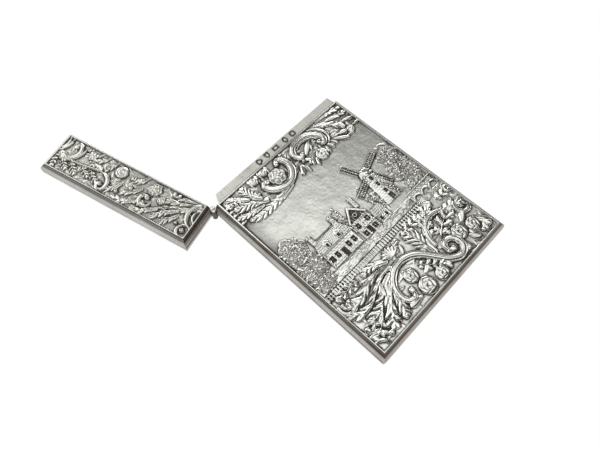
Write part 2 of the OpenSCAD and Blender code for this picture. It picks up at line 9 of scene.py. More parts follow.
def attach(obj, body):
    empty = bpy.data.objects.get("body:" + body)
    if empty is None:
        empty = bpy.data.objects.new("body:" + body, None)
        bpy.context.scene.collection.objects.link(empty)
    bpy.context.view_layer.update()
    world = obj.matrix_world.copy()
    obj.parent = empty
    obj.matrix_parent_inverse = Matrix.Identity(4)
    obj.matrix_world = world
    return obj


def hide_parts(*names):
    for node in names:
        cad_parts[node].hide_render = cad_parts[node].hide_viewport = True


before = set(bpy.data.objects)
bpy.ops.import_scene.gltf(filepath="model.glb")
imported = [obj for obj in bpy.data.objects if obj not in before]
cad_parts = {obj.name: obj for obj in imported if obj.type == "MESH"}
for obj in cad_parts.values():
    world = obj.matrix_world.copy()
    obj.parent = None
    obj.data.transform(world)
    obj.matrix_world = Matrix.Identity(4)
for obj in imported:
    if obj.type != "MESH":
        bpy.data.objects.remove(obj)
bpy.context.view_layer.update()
bpy.context.scene.view_settings.view_transform = "Standard"


def put(name, data):
    """An object of the data, in the scene."""
    piece = bpy.data.objects.new(name, data)
    bpy.context.collection.objects.link(piece)
    return piece


# The camera stands where the photograph's did: above the hinge side and the
# base, looking down on the front of the case.
camera_data = bpy.data.cameras.new("camera")
camera_data.sensor_width = 36.0
camera_data.lens = 32.35
camera_data.clip_start = 0.01
camera_place = (-0.0810, -0.0492, 0.1912)
camera_axes = Matrix((
    (0.68908, -0.72463, -0.00885),
    (0.65609, 0.61863, 0.43225),
    (-0.30775, -0.30366, 0.90171),
)).transposed().to_4x4()
camera = put("camera", camera_data)
camera.matrix_world = Matrix.Translation(camera_place) @ camera_axes
bpy.context.scene.camera = camera

# The studio: a white table, a broad soft light over it, and a room that is
# darker at its sides, which gives polished silver its brown grey streaks.


def add_node(tree, kind, inputs=None, **settings):
    """Adds a node with its settings to a tree and returns its outputs. Each of its
    inputs is given a value, or the output of another node to link to."""
    node = tree.nodes.new(kind)
    for key, value in settings.items():
        setattr(node, key, value)
    for key, value in (inputs or {}).items():
        if isinstance(value, bpy.types.NodeSocket):
            tree.links.new(value, node.inputs[key])
        else:
            node.inputs[key].default_value = value
    return node.outputs


def maths(tree, operation, *values, **settings):
    """The output of a Math node for the values or outputs that it is given."""
    return add_node(tree, "ShaderNodeMath", dict(enumerate(values)), operation=operation, **settings)[0]


def colour_ramp(tree, height, tones):
    """The colour at a height, between tones of (height, colour)."""
    node = tree.nodes.new("ShaderNodeValToRGB")
    tree.links.new(height, node.inputs["Fac"])
    stops = node.color_ramp.elements
    for k, (place, colour) in enumerate(tones):
        stop = stops[k] if k < 2 else stops.new(place)
        stop.position = place
        stop.color = (*colour, 1)
    return node.outputs["Color"]


def emptied_tree(owner):
    """The node tree of a material or a room, with its first nodes taken out."""
    owner.use_nodes = True
    owner.node_tree.nodes.clear()
    return owner.node_tree


white = (1, 1, 1, 1)
table_glow = 0.96       # share of plain white that the eye and polished metal see
table_glare = 1.03      # brings the table's white up to the photograph's
table_drop = -0.0001    # the table's top, just under the back of the case
table_reach = ((-6, -6), (6, -6), (6, 6), (-6, 6))
table_white = bpy.data.materials.new("white table")
tree = emptied_tree(table_white)
rays = add_node(tree, "ShaderNodeLightPath")
seen = maths(tree, "MAXIMUM", rays["Is Camera Ray"], rays["Is Glossy Ray"])
seen = maths(tree, "MAXIMUM", seen, rays["Is Transmission Ray"])
matt_white = add_node(tree, "ShaderNodeBsdfDiffuse", {"Color": (0.86, 0.86, 0.85, 1)})
plain_white = add_node(tree, "ShaderNodeEmission", {"Color": white, "Strength": table_glare})
blend = add_node(tree, "ShaderNodeMixShader", {
    0: maths(tree, "MULTIPLY", seen, table_glow), 1: matt_white[0], 2: plain_white[0]})
add_node(tree, "ShaderNodeOutputMaterial", {"Surface": blend[0]})
table_mesh = bpy.data.meshes.new("table")
table_mesh.from_pydata([(x, y, table_drop) for x, y in table_reach], [], [(0, 1, 2, 3)])
table_mesh.materials.append(table_white)
table = put("table", table_mesh)

# Height above the horizon, as a sine, and the colour of the room there: towards
# its brighter side, behind the camera, and to all other sides
bright_way = (-0.578, -0.816, 0)
bright_side = (
    (0.00, (0.92, 0.92, 0.90)), (0.08, (0.60, 0.59, 0.57)), (0.25, (0.50, 0.49, 0.47)),
    (0.40, (0.30, 0.29, 0.28)), (0.50, (0.05, 0.045, 0.042)), (0.88, (0.05, 0.047, 0.045)),
    (0.95, (0.45, 0.45, 0.44)), (1.00, (1.25, 1.25, 1.22)),
)
dim_side = (
    (0.00, (0.80, 0.80, 0.78)), (0.05, (0.20, 0.175, 0.16)), (0.30, (0.055, 0.045, 0.040)),
    (0.70, (0.07, 0.065, 0.06)), (0.79, (0.24, 0.24, 0.23)), (0.845, (0.42, 0.42, 0.41)),
    (0.885, (0.86, 0.86, 0.84)), (1.00, (1.35, 1.35, 1.32)),
)
room = bpy.data.worlds.new("studio room")
bpy.context.scene.world = room
tree = emptied_tree(room)
direction = add_node(tree, "ShaderNodeTexCoord")["Generated"]
height = add_node(tree, "ShaderNodeSeparateXYZ", {0: direction})["Z"]
level = add_node(tree, "ShaderNodeVectorMath", {0: direction, 1: (1, 1, 0)}, operation="MULTIPLY")
bearing = add_node(tree, "ShaderNodeVectorMath", {0: level[0]}, operation="NORMALIZE")
towards = add_node(tree, "ShaderNodeVectorMath", {0: bearing[0], 1: bright_way}, operation="DOT_PRODUCT")
side = add_node(tree, "ShaderNodeMapRange", {"Value": towards["Value"], "From Min": 0.06, "From Max": 0.36},
                interpolation_type="SMOOTHSTEP")
both = add_node(tree, "ShaderNodeMix", {
    0: side[0], 6: colour_ramp(tree, height, dim_side), 7: colour_ramp(tree, height, bright_side)},
    data_type="RGBA")
light = add_node(tree, "ShaderNodeBackground", {"Color": both[2]})
plain = add_node(tree, "ShaderNodeBackground", {"Color": white})
rays = add_node(tree, "ShaderNodeLightPath")
shown = add_node(tree, "ShaderNodeMixShader", {0: rays["Is Camera Ray"], 1: light[0], 2: plain[0]})
add_node(tree, "ShaderNodeOutputWorld", {"Surface": shown[0]})

# A broad soft lamp beyond the case and two small ones beside it give the
# polished tops their highlights
for label, place, across, watts in (
    ("far lamp", (0.80, 0.80, 0.40), 0.60, 3.6), ("mouth lamp", (-0.28, 0.90, 0.45), 0.95, 5.4),
    ("near lamp", (-0.66, -0.22, 0.72), 0.14, 0.25),
):
    lamp = bpy.data.lights.new(label, "AREA")
    lamp.shape = "SQUARE"
    lamp.size = across
    lamp.energy = watts
    aim = Vector(place).to_track_quat("Z", "Y").to_matrix().to_4x4()
    put(label, lamp).matrix_world = Matrix.Translation(place) @ aim

# Front sheet of the case
# A sheet of silver, 0.4 mm thick, driven into a steel die, so that its
# scrollwork and its country view stand up from a matted ground. It is trimmed
# to a narrow plain border and soldered to the mouldings round it.
MM = 0.001
case_thick = 8.0         # over the borders of both sheets
sheet_gauge = 0.4
sheet_half = 34.0        # half the sheet's width
border_wide = 0.8
border_tall = 0.5        # border above the struck ground
relief_limit = 1.18      # height that the deepest struck forms come near
die_step = 0.13          # spacing of the die's grid
base_line = -41.75
mouth_line = 41.75
off = -9                 # depth of what a form leaves as it is


def bent(x, y, heading, bend, length, count=14):
    """Points along a stem that leaves (x, y) at a heading and bends evenly."""
    t = np.linspace(0, 1, count)
    a = np.radians(heading + bend * (t - 0.5 / count))
    step = length / (count - 1)
    xs = x + np.concatenate([[0], np.cumsum(np.cos(a[:-1]) * step)])
    ys = y + np.concatenate([[0], np.cumsum(np.sin(a[:-1]) * step)])
    return np.stack([xs, ys], 1)


def smooth_path(points, count=10):
    """A smooth curve through the points, as a Catmull-Rom spline."""
    p = np.array([points[0], *points, points[-1]], float)
    out = []
    for a, b, c, d in zip(p[:-3], p[1:-2], p[2:-1], p[3:]):
        for t in np.linspace(0, 1, count, endpoint=False):
            bends = (2 * a - 5 * b + 4 * c - d) * t ** 2 + (3 * b - a - 3 * c + d) * t ** 3
            out.append(0.5 * (2 * b + (c - a) * t + bends))
    return np.array(out + [p[-2]])


def soften(field, sigma):
    """Blurs a field by a Gaussian of so many cells."""
    pad = int(sigma * 4) + 1
    wide = np.pad(field, pad, mode="edge")
    fy = np.fft.fftfreq(wide.shape[0])[:, None]
    fx = np.fft.rfftfreq(wide.shape[1])[None, :]
    pass_low = np.exp(-2 * (np.pi * sigma) ** 2 * (fx ** 2 + fy ** 2))
    return np.fft.irfft2(np.fft.rfft2(wide) * pass_low, s=wide.shape)[pad:-pad, pad:-pad]


class Die:
    """The die's face: a grid of heights over the sheet's struck ground, in mm."""

    def __init__(self, y0, y1):
        self.x = np.linspace(-sheet_half, sheet_half, int(round(2 * sheet_half / die_step)) + 1)
        self.y = np.linspace(y0, y1, int(round((y1 - y0) / die_step)) + 1)
        self.h = np.zeros((len(self.y), len(self.x)))
        # browning added to the patina of recesses: patina in places, and painted shade over the crest and
        # under the tree leaves
        self.brown = np.zeros_like(self.h)
        self.chance = np.random.default_rng(1890)

    def over(self, x0, x1, y0, y1):
        """The part of the grid over a rectangle, with the x and y of its points."""
        i0, i1 = np.searchsorted(self.x, [x0, x1])
        j0, j1 = np.searchsorted(self.y, [y0, y1])
        return (slice(j0, j1), slice(i0, i1)), *np.meshgrid(self.x[i0:i1], self.y[j0:j1])

    def level(self, x, y):
        j = min(np.searchsorted(self.y, y), len(self.y) - 1)
        i = min(np.searchsorted(self.x, x), len(self.x) - 1)
        return self.h[j, i]

    def along(self, path, half, shape, lift=0.0, under=None):
        """Sinks a form that follows a path. half is its half width, shape(u, t) its
        height for u from -1, its right edge, to 1, and t along the path. What lies
        under it, and close beside it, is first cut down to the height of under."""
        path = np.asarray(path, float)
        half = np.broadcast_to(half, len(path)).astype(float)
        reach = half.max() + 1e-6
        (x0, y0), (x1, y1) = path.min(0) - reach, path.max(0) + reach
        win, gx, gy = self.over(x0, x1, y0, y1)
        if gx.size == 0:
            return
        spots = np.stack([gx.ravel(), gy.ravel()], 1)
        legs = np.diff(path, axis=0)
        nearest, clear = np.full((2, len(spots)), 1e9)
        t_all, u_all = np.zeros((2, len(spots)))
        for k, leg in enumerate(legs):
            rel = spots - path[k]
            s = np.clip((rel @ leg) / max(leg @ leg, 1e-12), 0, 1)
            dist = np.sqrt(((rel - s[:, None] * leg) ** 2).sum(1))
            side = np.sign(leg[0] * rel[:, 1] - leg[1] * rel[:, 0])
            width = half[k] + (half[k + 1] - half[k]) * s
            near = dist < nearest
            nearest[near] = dist[near]
            t_all[near] = (k + s[near]) / len(legs)
            u_all[near] = (side * dist / np.maximum(width, 1e-6))[near]
            clear = np.minimum(clear, dist - width)
        z = np.where(np.abs(u_all) < 1, lift + shape(np.clip(u_all, -1, 1), t_all), off).reshape(gx.shape)
        if under is not None:
            close = clear.reshape(gx.shape) < 0.3
            self.h[win] = np.where(close, np.minimum(self.h[win], under), self.h[win])
        self.h[win] = np.maximum(self.h[win], z)

    def round(self, cx, cy, r, shape, lift=0.0, tall=1.0):
        """Sinks a round or oval form, shape(rho, angle) its height."""
        win, gx, gy = self.over(cx - r, cx + r, cy - r * tall, cy + r * tall)
        gx, gy = gx - cx, (gy - cy) / tall
        rho = np.hypot(gx, gy) / r
        z = np.where(rho < 1, lift + shape(np.minimum(rho, 1), np.arctan2(gy, gx)), off)
        self.h[win] = np.maximum(self.h[win], z)

    def block(self, cx, cy, w, h, shape, taper=1.0, cut=False):
        """Sinks or cuts a four sided form on its foot's middle, its head taper times as wide.
        shape is its height, or a function of u from -1 to 1 across and v from 0 to 1 up."""
        win, gx, gy = self.over(cx - w, cx + w, cy - 0.2, cy + h + 0.2)
        gx, gy = gx - cx, gy - cy
        half = w / 2 * (1 + (taper - 1) * np.clip(gy / h, 0, 1))
        inside = (np.abs(gx) <= half) & (gy >= 0) & (gy <= h)
        top = shape(gx / np.maximum(half, 1e-6), gy / h) if callable(shape) else shape
        if cut:
            self.h[win] = np.where(inside, self.h[win] - top, self.h[win])
            self.brown[win] = np.where(inside, 0.8, self.brown[win])
        else:
            self.h[win] = np.maximum(self.h[win], np.where(inside, top, off))


def sink(die, form, *rows, up=0.0):
    """Sinks a form into the die for each row of its sizes, all of them moved up the sheet."""
    for first, *rest in rows:
        if isinstance(first, tuple):
            form(die, [(x, y + up) for x, y in first], *rest)
        else:
            form(die, first, rest[0] + up, *rest[1:])


def dome(u, power=2.0, k=0.6):
    return np.maximum(0, 1 - np.abs(u) ** power) ** k


def channel(u):
    """Section of a scroll's band: thin rims, a groove inside each, and a middle of two reeds."""
    rim = np.exp(-((np.abs(u) - 0.86) / 0.10) ** 2)
    middle = dome(np.clip(u / 0.62, -1, 1), 2, 0.8) - 0.34 * np.exp(-((u - 0.12) / 0.10) ** 2)
    return (0.34 + 0.58 * rim + 0.54 * middle) * np.maximum(0, 1 - np.abs(u) ** 12) ** 0.5


def band(die, path, half, lift, top, *eyes):
    """A channelled band along a path, with a ball in the eye at each end that has one."""
    die.along(path, half, lambda u, t: top * channel(u), lift)
    for eye, spot in zip(eyes, (path[0], path[-1])):
        if eye > 0:
            die.round(*spot, eye, lambda r, a: top * 0.6 + 0.6 * eye * np.sqrt(1 - r ** 2), lift)


def c_scroll(die, cx, cy, r0, r1, a0, a1, wide, lift, top, eye0=0, eye1=0):
    """A band that winds from one radius and angle to another."""
    t = np.linspace(0, 1, max(8, int(abs(a1 - a0) / 6)))
    a, r = np.radians(a0 + (a1 - a0) * t), r0 + (r1 - r0) * t
    half = wide / 2 * (0.42 + 0.58 * np.sin(np.pi * np.clip(0.12 + 0.8 * t, 0, 1)))
    band(die, np.stack([cx + r * np.cos(a), cy + r * np.sin(a)], 1), half, lift, top, eye0, eye1)


def s_scroll(die, points, wide, lift, top, eye):
    """A band through the points, thin at its two curled ends."""
    path = smooth_path(points)
    t = np.linspace(0, 1, len(path))
    half = wide / 2 * (0.36 + 0.64 * np.sin(np.pi * np.clip(t, 0.02, 0.98)) ** 0.5)
    band(die, path, half, lift, top, eye, eye)


def lobe(die, x, y, heading, bend, length, wide, tall, lift):
    """One blade of a leaf: narrow at its foot and blunt at its end, domed, with a sunk vein."""
    t = np.linspace(0, 1, 11)
    end = np.sqrt(np.clip(1 - ((t - 0.60) / 0.40) ** 2, 0, 1))
    half = wide / 2 * np.maximum(0.1, np.where(t > 0.60, end, 0.42 + 0.58 * np.sin(np.pi / 2 * t / 0.60)))

    def blade(u, t):
        vein = 0.26 * np.exp(-(u / 0.14) ** 2) * np.clip(1.15 - 1.2 * t, 0, 1)
        return tall * (1.15 * dome(u, 2.0, 0.9) * (0.55 + 0.50 * np.clip(t / 0.7, 0, 1)) - vein)

    die.along(bent(x, y, heading, bend, length, 11), half, blade, lift)


def acanthus(die, x, y, heading, bend, length, wide, lobes, lift, tall):
    """A leaf of blunt lobes that sweep forward on both sides of a raised rib."""
    chance = np.random.default_rng(int(abs(x * 7 + y * 13) * 10))
    rib = bent(x, y, heading, bend, length, 24)
    spacing = length / lobes
    for i in range(lobes - 1, -1, -1):
        t = (i + 0.30) / lobes
        k = t * 23
        j = int(k)
        foot = rib[j] + (rib[min(j + 1, 23)] - rib[j]) * (k - j)
        turn = heading + bend * t
        swell = max(0.34, math.sin(math.pi * min(1, 0.24 + 0.70 * t)))
        for side in (1, -1):
            lean = 54 - 20 * t + chance.uniform(-4, 4)
            long = wide / 2 * swell / math.sin(math.radians(lean)) * chance.uniform(1.0, 1.18)
            broad = spacing * math.sin(math.radians(lean)) * chance.uniform(0.98, 1.12)
            bend_in = -side * chance.uniform(6, 26)
            if broad > 1.9:
                for fork in (-1, 1):
                    start = bent(*foot, turn + side * lean, bend_in, long, 9)[3]
                    lobe(die, *start, turn + side * lean + 34 * fork, -10 * fork, long * 0.52, broad * 0.62,
                         tall * 0.78, lift)
            lobe(die, *foot, turn + side * lean, bend_in, long, broad * (0.78 if broad > 1.9 else 1),
                 tall * chance.uniform(0.90, 1.10), lift + 0.04 * t)
    lobe(die, *rib[-6], heading + bend * 0.9, bend * 0.2, length * 0.27, spacing * 1.05, tall * 1.1,
         lift + 0.06)
    half = (0.14 + 0.26 * (1 - np.linspace(0, 1, 24))) * max(0.7, wide / 6)
    die.along(rib, half, lambda u, t: (tall + 0.16) * dome(u, 2, 0.5), lift)


def plume(die, points, wide, lobes, lift, tall, sides=(1, 1)):
    """A long leaf in one piece: fluted along its rib near the foot, and further on
    fluted out to the blunt lobes of both edges. sides are the shares of the width."""
    rib = smooth_path(points, 7)
    t = np.linspace(0, 1, len(rib))
    half = wide / 2 * (0.5 + 0.5 * np.sin(np.pi * np.clip(0.72 * t, 0, 1)))
    half = half * np.clip((1.0 - t) / 0.16, 0, 1) ** 0.5
    lean = 0.62 * wide / np.hypot(*np.diff(rib, axis=0).T).sum()

    def blade(u, t):
        a = np.abs(u) / np.where(u > 0, sides[0], sides[1])
        out = np.clip((t - 0.16) / 0.30, 0, 1)
        uneven = 0.13 * np.sin(8 * t + points[0][0] + 2 * (u > 0))
        part = (lobes * (t - lean * a) + 0.35 * (u > 0) + uneven) % 1
        ridge = np.sin(np.pi * part) * (1 - 0.6 * abs(uneven))
        edge = 1 - out * 0.66 * (1 - ridge ** 0.5)
        flute = 0.5 + 0.5 * np.cos(2 * np.pi * 1.5 * u)
        swell = (1 - out) * (0.60 + 0.40 * flute) + out * (0.30 + 0.70 * ridge)
        top = np.maximum(0, 1 - np.clip(a / edge, 0, 1) ** 3) ** 0.6
        crown = 0.80 + 0.40 * a * out
        spine = 0.30 * np.exp(-(u / 0.12) ** 2)
        return np.where(a < edge, tall * (top * swell * crown + spine), off)

    die.along(rib, np.maximum(half, 0.05), blade, lift, 0.06)


def blossom(die, cx, cy, r, petals, lift):
    """An open flower: two rings of cupped petals round a button."""
    rings = ((petals, 0.60, 0.50, 0.0), (max(3, petals - 1), 0.32, 0.34, 0.16))
    for ring, (count, out, size, up) in enumerate(rings):
        for k in range(count):
            a = math.radians(360 * (k + 0.5 * ring) / count)
            die.round(cx + out * r * math.cos(a), cy + out * r * math.sin(a), size * r,
                      lambda u, a: 0.34 + 0.24 * u ** 2 * np.maximum(0, 1 - u ** 10), lift + up)
    die.round(cx, cy, 0.24 * r, lambda u, a: 0.55 + 0.30 * np.sqrt(1 - u ** 2), lift)


def rose(die, cx, cy, r, petals, lift):
    """A half open rose: petals wrapped round a hollow heart."""
    def wrapped(rho, a):
        ball = 0.36 + 0.52 * np.sqrt(1 - rho ** 2)
        for count, lo, hi, twist in ((petals, 0.52, 1.1, 1.1), (petals - 1, 0.24, 0.52, -1.6)):
            part = (count * a / (2 * np.pi) + twist * rho) % 1
            edge = np.minimum(part, 1 - part)
            ball -= 0.17 * np.exp(-(edge / 0.11) ** 2) * ((rho > lo) & (rho < hi))
        ball -= 0.18 * np.exp(-((rho - 0.54) / 0.08) ** 2)
        return ball - 0.46 * np.exp(-(rho / 0.19) ** 2)

    die.round(cx, cy, r, wrapped, lift)


def bead(die, cx, cy, r, lift):
    die.round(cx, cy, r, lambda u, a: 0.25 + 0.85 * r * np.sqrt(1 - u ** 2), lift)


def under_leaves(die, x0, x1, y0, y1, count, short=2.4, long=4.6, tall=0.30):
    """Small low leaves that fill the ground between the large forms."""
    for _ in range(count):
        x, y = die.chance.uniform(x0, x1), die.chance.uniform(y0, y1)
        heading, length = die.chance.uniform(0, 360), die.chance.uniform(short, long)
        if die.level(x, y) < 0.06:
            lobe(die, x, y, heading, die.chance.uniform(-50, 50), length, length * 0.5, tall, 0.02)


# The crest of scrollwork along the mouth: two facing scrolls, each round a
# flower, with sprays of acanthus out to both corners
front = Die(base_line, mouth_line)
sink(
    front, plume,
    (((-7.8, 26.9), (-13.6, 26), (-19.4, 25.7), (-24.8, 25.8), (-30.2, 27.4)), 5, 8, 0.1, 0.52, (0.8, 1)),
    (((-19.4, 29), (-22.6, 31.2), (-26.4, 33.2), (-31.4, 34.6)), 4.8, 6, 0.08, 0.52, (1, 0.9)),
    (((-20.6, 31.4), (-22, 34.4), (-22.9, 37.4), (-23, 40.8)), 4.2, 6, 0.08, 0.46),
    (((-24.2, 34.4), (-26.4, 36.4), (-28.6, 38.4), (-30.2, 40.8)), 3.2, 6, 0.06, 0.42),
    (((-21.8, 28.4), (-25.6, 28.9), (-29.4, 29.8), (-33, 31.4)), 2.8, 6, 0.06, 0.44),
    (((18.8, 38.8), (22.2, 36.6), (25, 33.4), (27, 29.8)), 4.6, 3, 0.1, 0.56, (0.9, 0.6)),
    (((20.6, 41), (24.6, 40.4), (28.8, 39.6), (33.2, 38.4)), 2.8, 5, 0.08, 0.48),
    (((24.2, 37.8), (27.4, 36.8), (30.4, 36), (33.4, 35.6)), 2.8, 4, 0.08, 0.5))
sink(front, acanthus, (-26.6, 34.6, 158, -30, 7, 3, 4, 0.06, 0.42))
sink(
    front, s_scroll,
    (((-5.6, 37.8), (-4.6, 38.9), (-2.8, 38.2), (-2, 35.5), (-2.7, 32), (-5.2, 29.3), (-8.6, 28.3),
      (-12.2, 29.2), (-15, 31.3), (-15.9, 33.6), (-15, 35.2), (-13.9, 34.4)), 3.3, 0.24, 0.86, 1),
    (((4.9, 33.4), (3.6, 32.6), (2.4, 34.2), (2.7, 36.6), (4.8, 38.8), (8.4, 39.6), (12.4, 39),
      (15.4, 36.8), (16.8, 33.8), (16.2, 31.8), (14.9, 31.4), (14.2, 32.8)), 2.9, 0.24, 0.86, 1),
    (((5, 36.6), (7.8, 37.8), (11, 37.6), (13.6, 36.2), (14.9, 34.4)), 0.9, 0.18, 0.56, 0),
    (((14.8, 40.2), (17.6, 38), (19.2, 34.8), (18.9, 31.6), (17, 29.8)), 1.2, 0.18, 0.62, 0),
    (((3, 31), (4.6, 30.6), (5.4, 29.4), (4.4, 28.4)), 1.3, 0.2, 0.62, 0.6))
sink(
    front, lobe,
    (6.2, 32.4, 34, 0, 6.6, 2.8, 0.62, 0.18), (9.4, 32.2, 64, 0, 3.6, 1.6, 0.52, 0.16),
    (27.2, 33.2, -18, 4, 6.6, 2, 0.62, 0.18), (20, 29.2, -42, 8, 6.2, 2.4, 0.64, 0.18),
    (22.4, 29.8, -20, 0, 4.4, 2.6, 0.66, 0.18), (24.6, 26.6, -8, 0, 3.8, 1.6, 0.58, 0.14),
    (29.6, 28.8, -4, 0, 4.4, 1.5, 0.56, 0.14), (0.9, 30.2, 240, 0, 4.6, 1.9, 0.56, 0.14),
    (1.6, 30, 275, 0, 4.8, 1.8, 0.56, 0.14), (-0.2, 31.4, 215, 0, 3.6, 1.7, 0.52, 0.14),
    (6.8, 29.6, 236, 0, 3.4, 1.6, 0.54, 0.14), (7.8, 28.4, 250, 0, 4, 1.7, 0.54, 0.14),
    (14.4, 29.2, 262, 0, 3.6, 1.5, 0.52, 0.14), (16.2, 29.6, 278, 0, 3.6, 1.5, 0.52, 0.14),
    (18, 29.8, 292, 0, 3.4, 1.5, 0.52, 0.14), (-18.9, 36.6, 104, -36, 4.6, 1.2, 0.44, 0.12),
    (-15.6, 36.8, 76, 30, 4.2, 1.2, 0.44, 0.12), (-13.8, 37, 100, -30, 4.4, 1.2, 0.44, 0.12),
    (-10.2, 37.2, 72, 40, 4.2, 1.2, 0.44, 0.12),
    *((-31, y, 180, 0, 2.6, 1.3, 0.5, 0.1) for y in (28.6, 30.8, 33, 35.2, 37.4)))
sink(front, blossom, (-9.1, 33.7, 3.4, 6, 0.12))
sink(
    front, rose,
    (10.9, 27.9, 2.7, 5, 0.12), (-17.2, 38.9, 2, 4, 0.1), (-11.9, 39.1, 1.8, 4, 0.1),
    (28, 27.8, 1.7, 4, 0.12))
sink(front, bead, (-1.4, 40, 0.7, 0.15), (20.6, 36.6, 0.6, 0.15), (-19.6, 33, 0.6, 0.15))
under_leaves(front, -33, 33, 28.5, 41, 190, 1.6, 3.2, 0.18)

# The foot of scrollwork along the base: one long scroll with an eye at each
# end, leaves thrown out to the left, and roses under and beside it
sink(
    front, plume,
    (((-7, -20.6), (-13, -20.4), (-19, -21.6), (-24.5, -23.6), (-29.6, -22.8), (-31.6, -19.6)),
     6.2, 6, 0.14, 0.76, (0.45, 1)),
    (((-8.6, -23), (-14, -23.6), (-19.4, -25.8), (-25, -27.6), (-30, -26.2), (-33, -23.6)),
     4.8, 6, 0.16, 0.78, (1, 0.8)),
    (((-11, -25), (-16, -27.2), (-20.6, -30), (-25, -31.6), (-29.6, -30.6)), 6.2, 5, 0.2, 0.86),
    (((-12.6, -27.6), (-17, -30.6), (-20.8, -34.4), (-23, -36.8), (-24.6, -39.2)), 6.2, 4, 0.22, 0.9),
    (((-14.4, -30.6), (-16, -34), (-17.4, -37.2), (-18.2, -39.4)), 4.6, 4, 0.22, 0.88),
    (((7.6, -31), (7.2, -26.4), (6.8, -21.6), (5, -17.6)), 6.6, 6, 0.18, 0.74),
    (((-7.6, -20.6), (-11, -18.8), (-14.6, -17.6), (-18.4, -17.8)), 3.6, 4, 0.1, 0.6),
    (((-1.6, -20.8), (-0.6, -18.8), (1.2, -17.4)), 3, 3, 0.1, 0.6))
sink(
    front, acanthus,
    (-20, -17.9, 172, 16, 11, 4.2, 4, 0.06, 0.56), (-25, -33.4, 215, -30, 8, 4.4, 3, 0.1, 0.56),
    (-0.5, -29.5, 310, 12, 12, 3.6, 5, 0.2, 0.6), (11.5, -26.5, 70, -60, 15, 5.2, 5, 0.16, 0.62),
    (14.6, -28.6, 35, -30, 13, 6.2, 4, 0.12, 0.62), (24, -22.6, 350, -30, 9, 4.6, 4, 0.2, 0.6),
    (25.6, -17.6, 350, 10, 9, 4.2, 4, 0.1, 0.55), (4, -18.4, 10, -20, 13, 4.4, 5, 0.1, 0.52))
sink(
    front, c_scroll,
    (-29.6, -21.6, 3.6, 1.6, 150, 400, 1.8, 0.2, 0.8, 0, 0.8), (-33, -40.6, 6.4, 6, 10, 88, 1.6, 0.2, 0.75),
    (-33, -40.6, 3.6, 3.4, 5, 90, 1.5, 0.2, 0.75), (-30.6, -29, 4.6, 4.2, 200, 330, 1.5, 0.2, 0.7, 0, 0.8),
    (18.6, -28.6, 8.6, 7.8, 185, 45, 2.6, 0.24, 0.85),
    (30.6, -26.6, 3.6, 1.3, 120, 470, 2, 0.3, 0.85, 0, 0.9))
sink(
    front, lobe,
    (-13, -26, 215, 40, 6, 3.4, 0.7, 0.3), (-15.6, -24.6, 235, 20, 5, 3, 0.7, 0.3),
    (29, -33, 300, 20, 7, 3.4, 0.65, 0.2), (18.4, -35.6, 265, 15, 5, 2.8, 0.62, 0.2),
    (22.4, -36.4, 300, 15, 5, 2.8, 0.62, 0.2), (30.8, -36.2, 240, 15, 5, 2.8, 0.62, 0.2),
    (15.8, -38.6, 330, 15, 5, 2.8, 0.62, 0.2), (24.8, -30.6, 30, 15, 5, 2.8, 0.62, 0.2),
    (-9, -38.2, 170, 20, 6, 3, 0.6, 0.2), (-0.8, -33.6, 20, 20, 4, 2.4, 0.5, 0.15),
    *((-4.4, -21, 20 + 22 * k, 0, 4.4, 1.7, 0.6, 0.14) for k in range(7)))
sink(
    front, s_scroll,
    (((-9.6, -34.2), (-10.6, -36.5), (-13.2, -36), (-14.3, -32.8), (-12.9, -28.4), (-9, -25.2), (-4.4, -24.2),
      (0.2, -25.4), (3.8, -28.4), (6.6, -32.4), (9.6, -36.6), (13.4, -38.8), (16.9, -37.2), (17.3, -33.4),
      (14.9, -31.2), (12.2, -32), (11.9, -34.6), (13.6, -35.2)), 3.1, 0.24, 0.98, 1.15))
sink(
    front, rose,
    (-5.6, -30.6, 2.8, 5, 0.14), (-4.2, -37.2, 3.5, 5, 0.2), (3.2, -38.2, 2.8, 5, 0.2),
    (20.6, -32.6, 3.2, 6, 0.2), (26.8, -34.2, 2.7, 5, 0.2))
sink(
    front, bead,
    (-31.6, -32.4, 1.2, 0.3), (-26.2, -38.6, 1, 0.2), (31.4, -38.4, 1.2, 0.3), (27.6, -38.6, 0.9, 0.3),
    (17.6, -30.2, 0.8, 0.3), (-18.6, -38.8, 0.9, 0.2), (7.4, -38.6, 0.9, 0.2))
under_leaves(front, -33, 33, -40, -16.9, 170, tall=0.22)

# The picture between them: a mill, cottages, a bridge and trees, cut shallower
# than the scrollwork, under a sky of matted ground


def stone_wall(cx, cy, w, h, tall, course=0.9, taper=1.0, lean=0.0, bow=0.0):
    """A wall of dressed stone, with thin joints between its courses. It leans to one side, or bows."""
    def stones(u, v):
        row = np.floor(v * h / course)
        across = (u * w / 2 + (row % 2) * course * 0.9) / (course * 1.8)
        joint = (np.abs((v * h / course) % 1 - 0.5) > 0.42) | (np.abs(across % 1 - 0.5) > 0.46)
        return np.where(joint, tall - 0.10, tall) + lean * u - bow * u ** 2

    front.block(cx, cy, w, h, stones, taper)


def tiled_roof(cx, cy, w, h, tall, taper, course=0.95):
    """A roof of lapped tiles."""
    def tiles(u, v):
        k = v * h / course
        across = u * w / 2 + (np.floor(k) % 2) * course * 0.5
        joint = np.abs((across / course) % 1 - 0.5) > 0.42
        return tall + 0.14 * (1 - k % 1) - 0.07 * joint - 0.12 * v

    front.block(cx, cy, w, h, tiles, taper)


def window_pane(cx, cy, w, h, deep=0.36, bars=True):
    """A sunk window with its glazing bars."""
    sill = front.level(cx, cy + h / 2) + 0.06
    front.block(cx, cy - 0.3, w + 0.6, 0.3, sill + 0.06)
    front.block(cx, cy, w, h, deep, cut=True)
    if bars:
        bar = front.level(cx, cy + h / 2) + deep * 0.8
        front.block(cx, cy, 0.16, h, bar)
        front.block(cx, cy + h * 0.5 - 0.08, w, 0.16, bar)


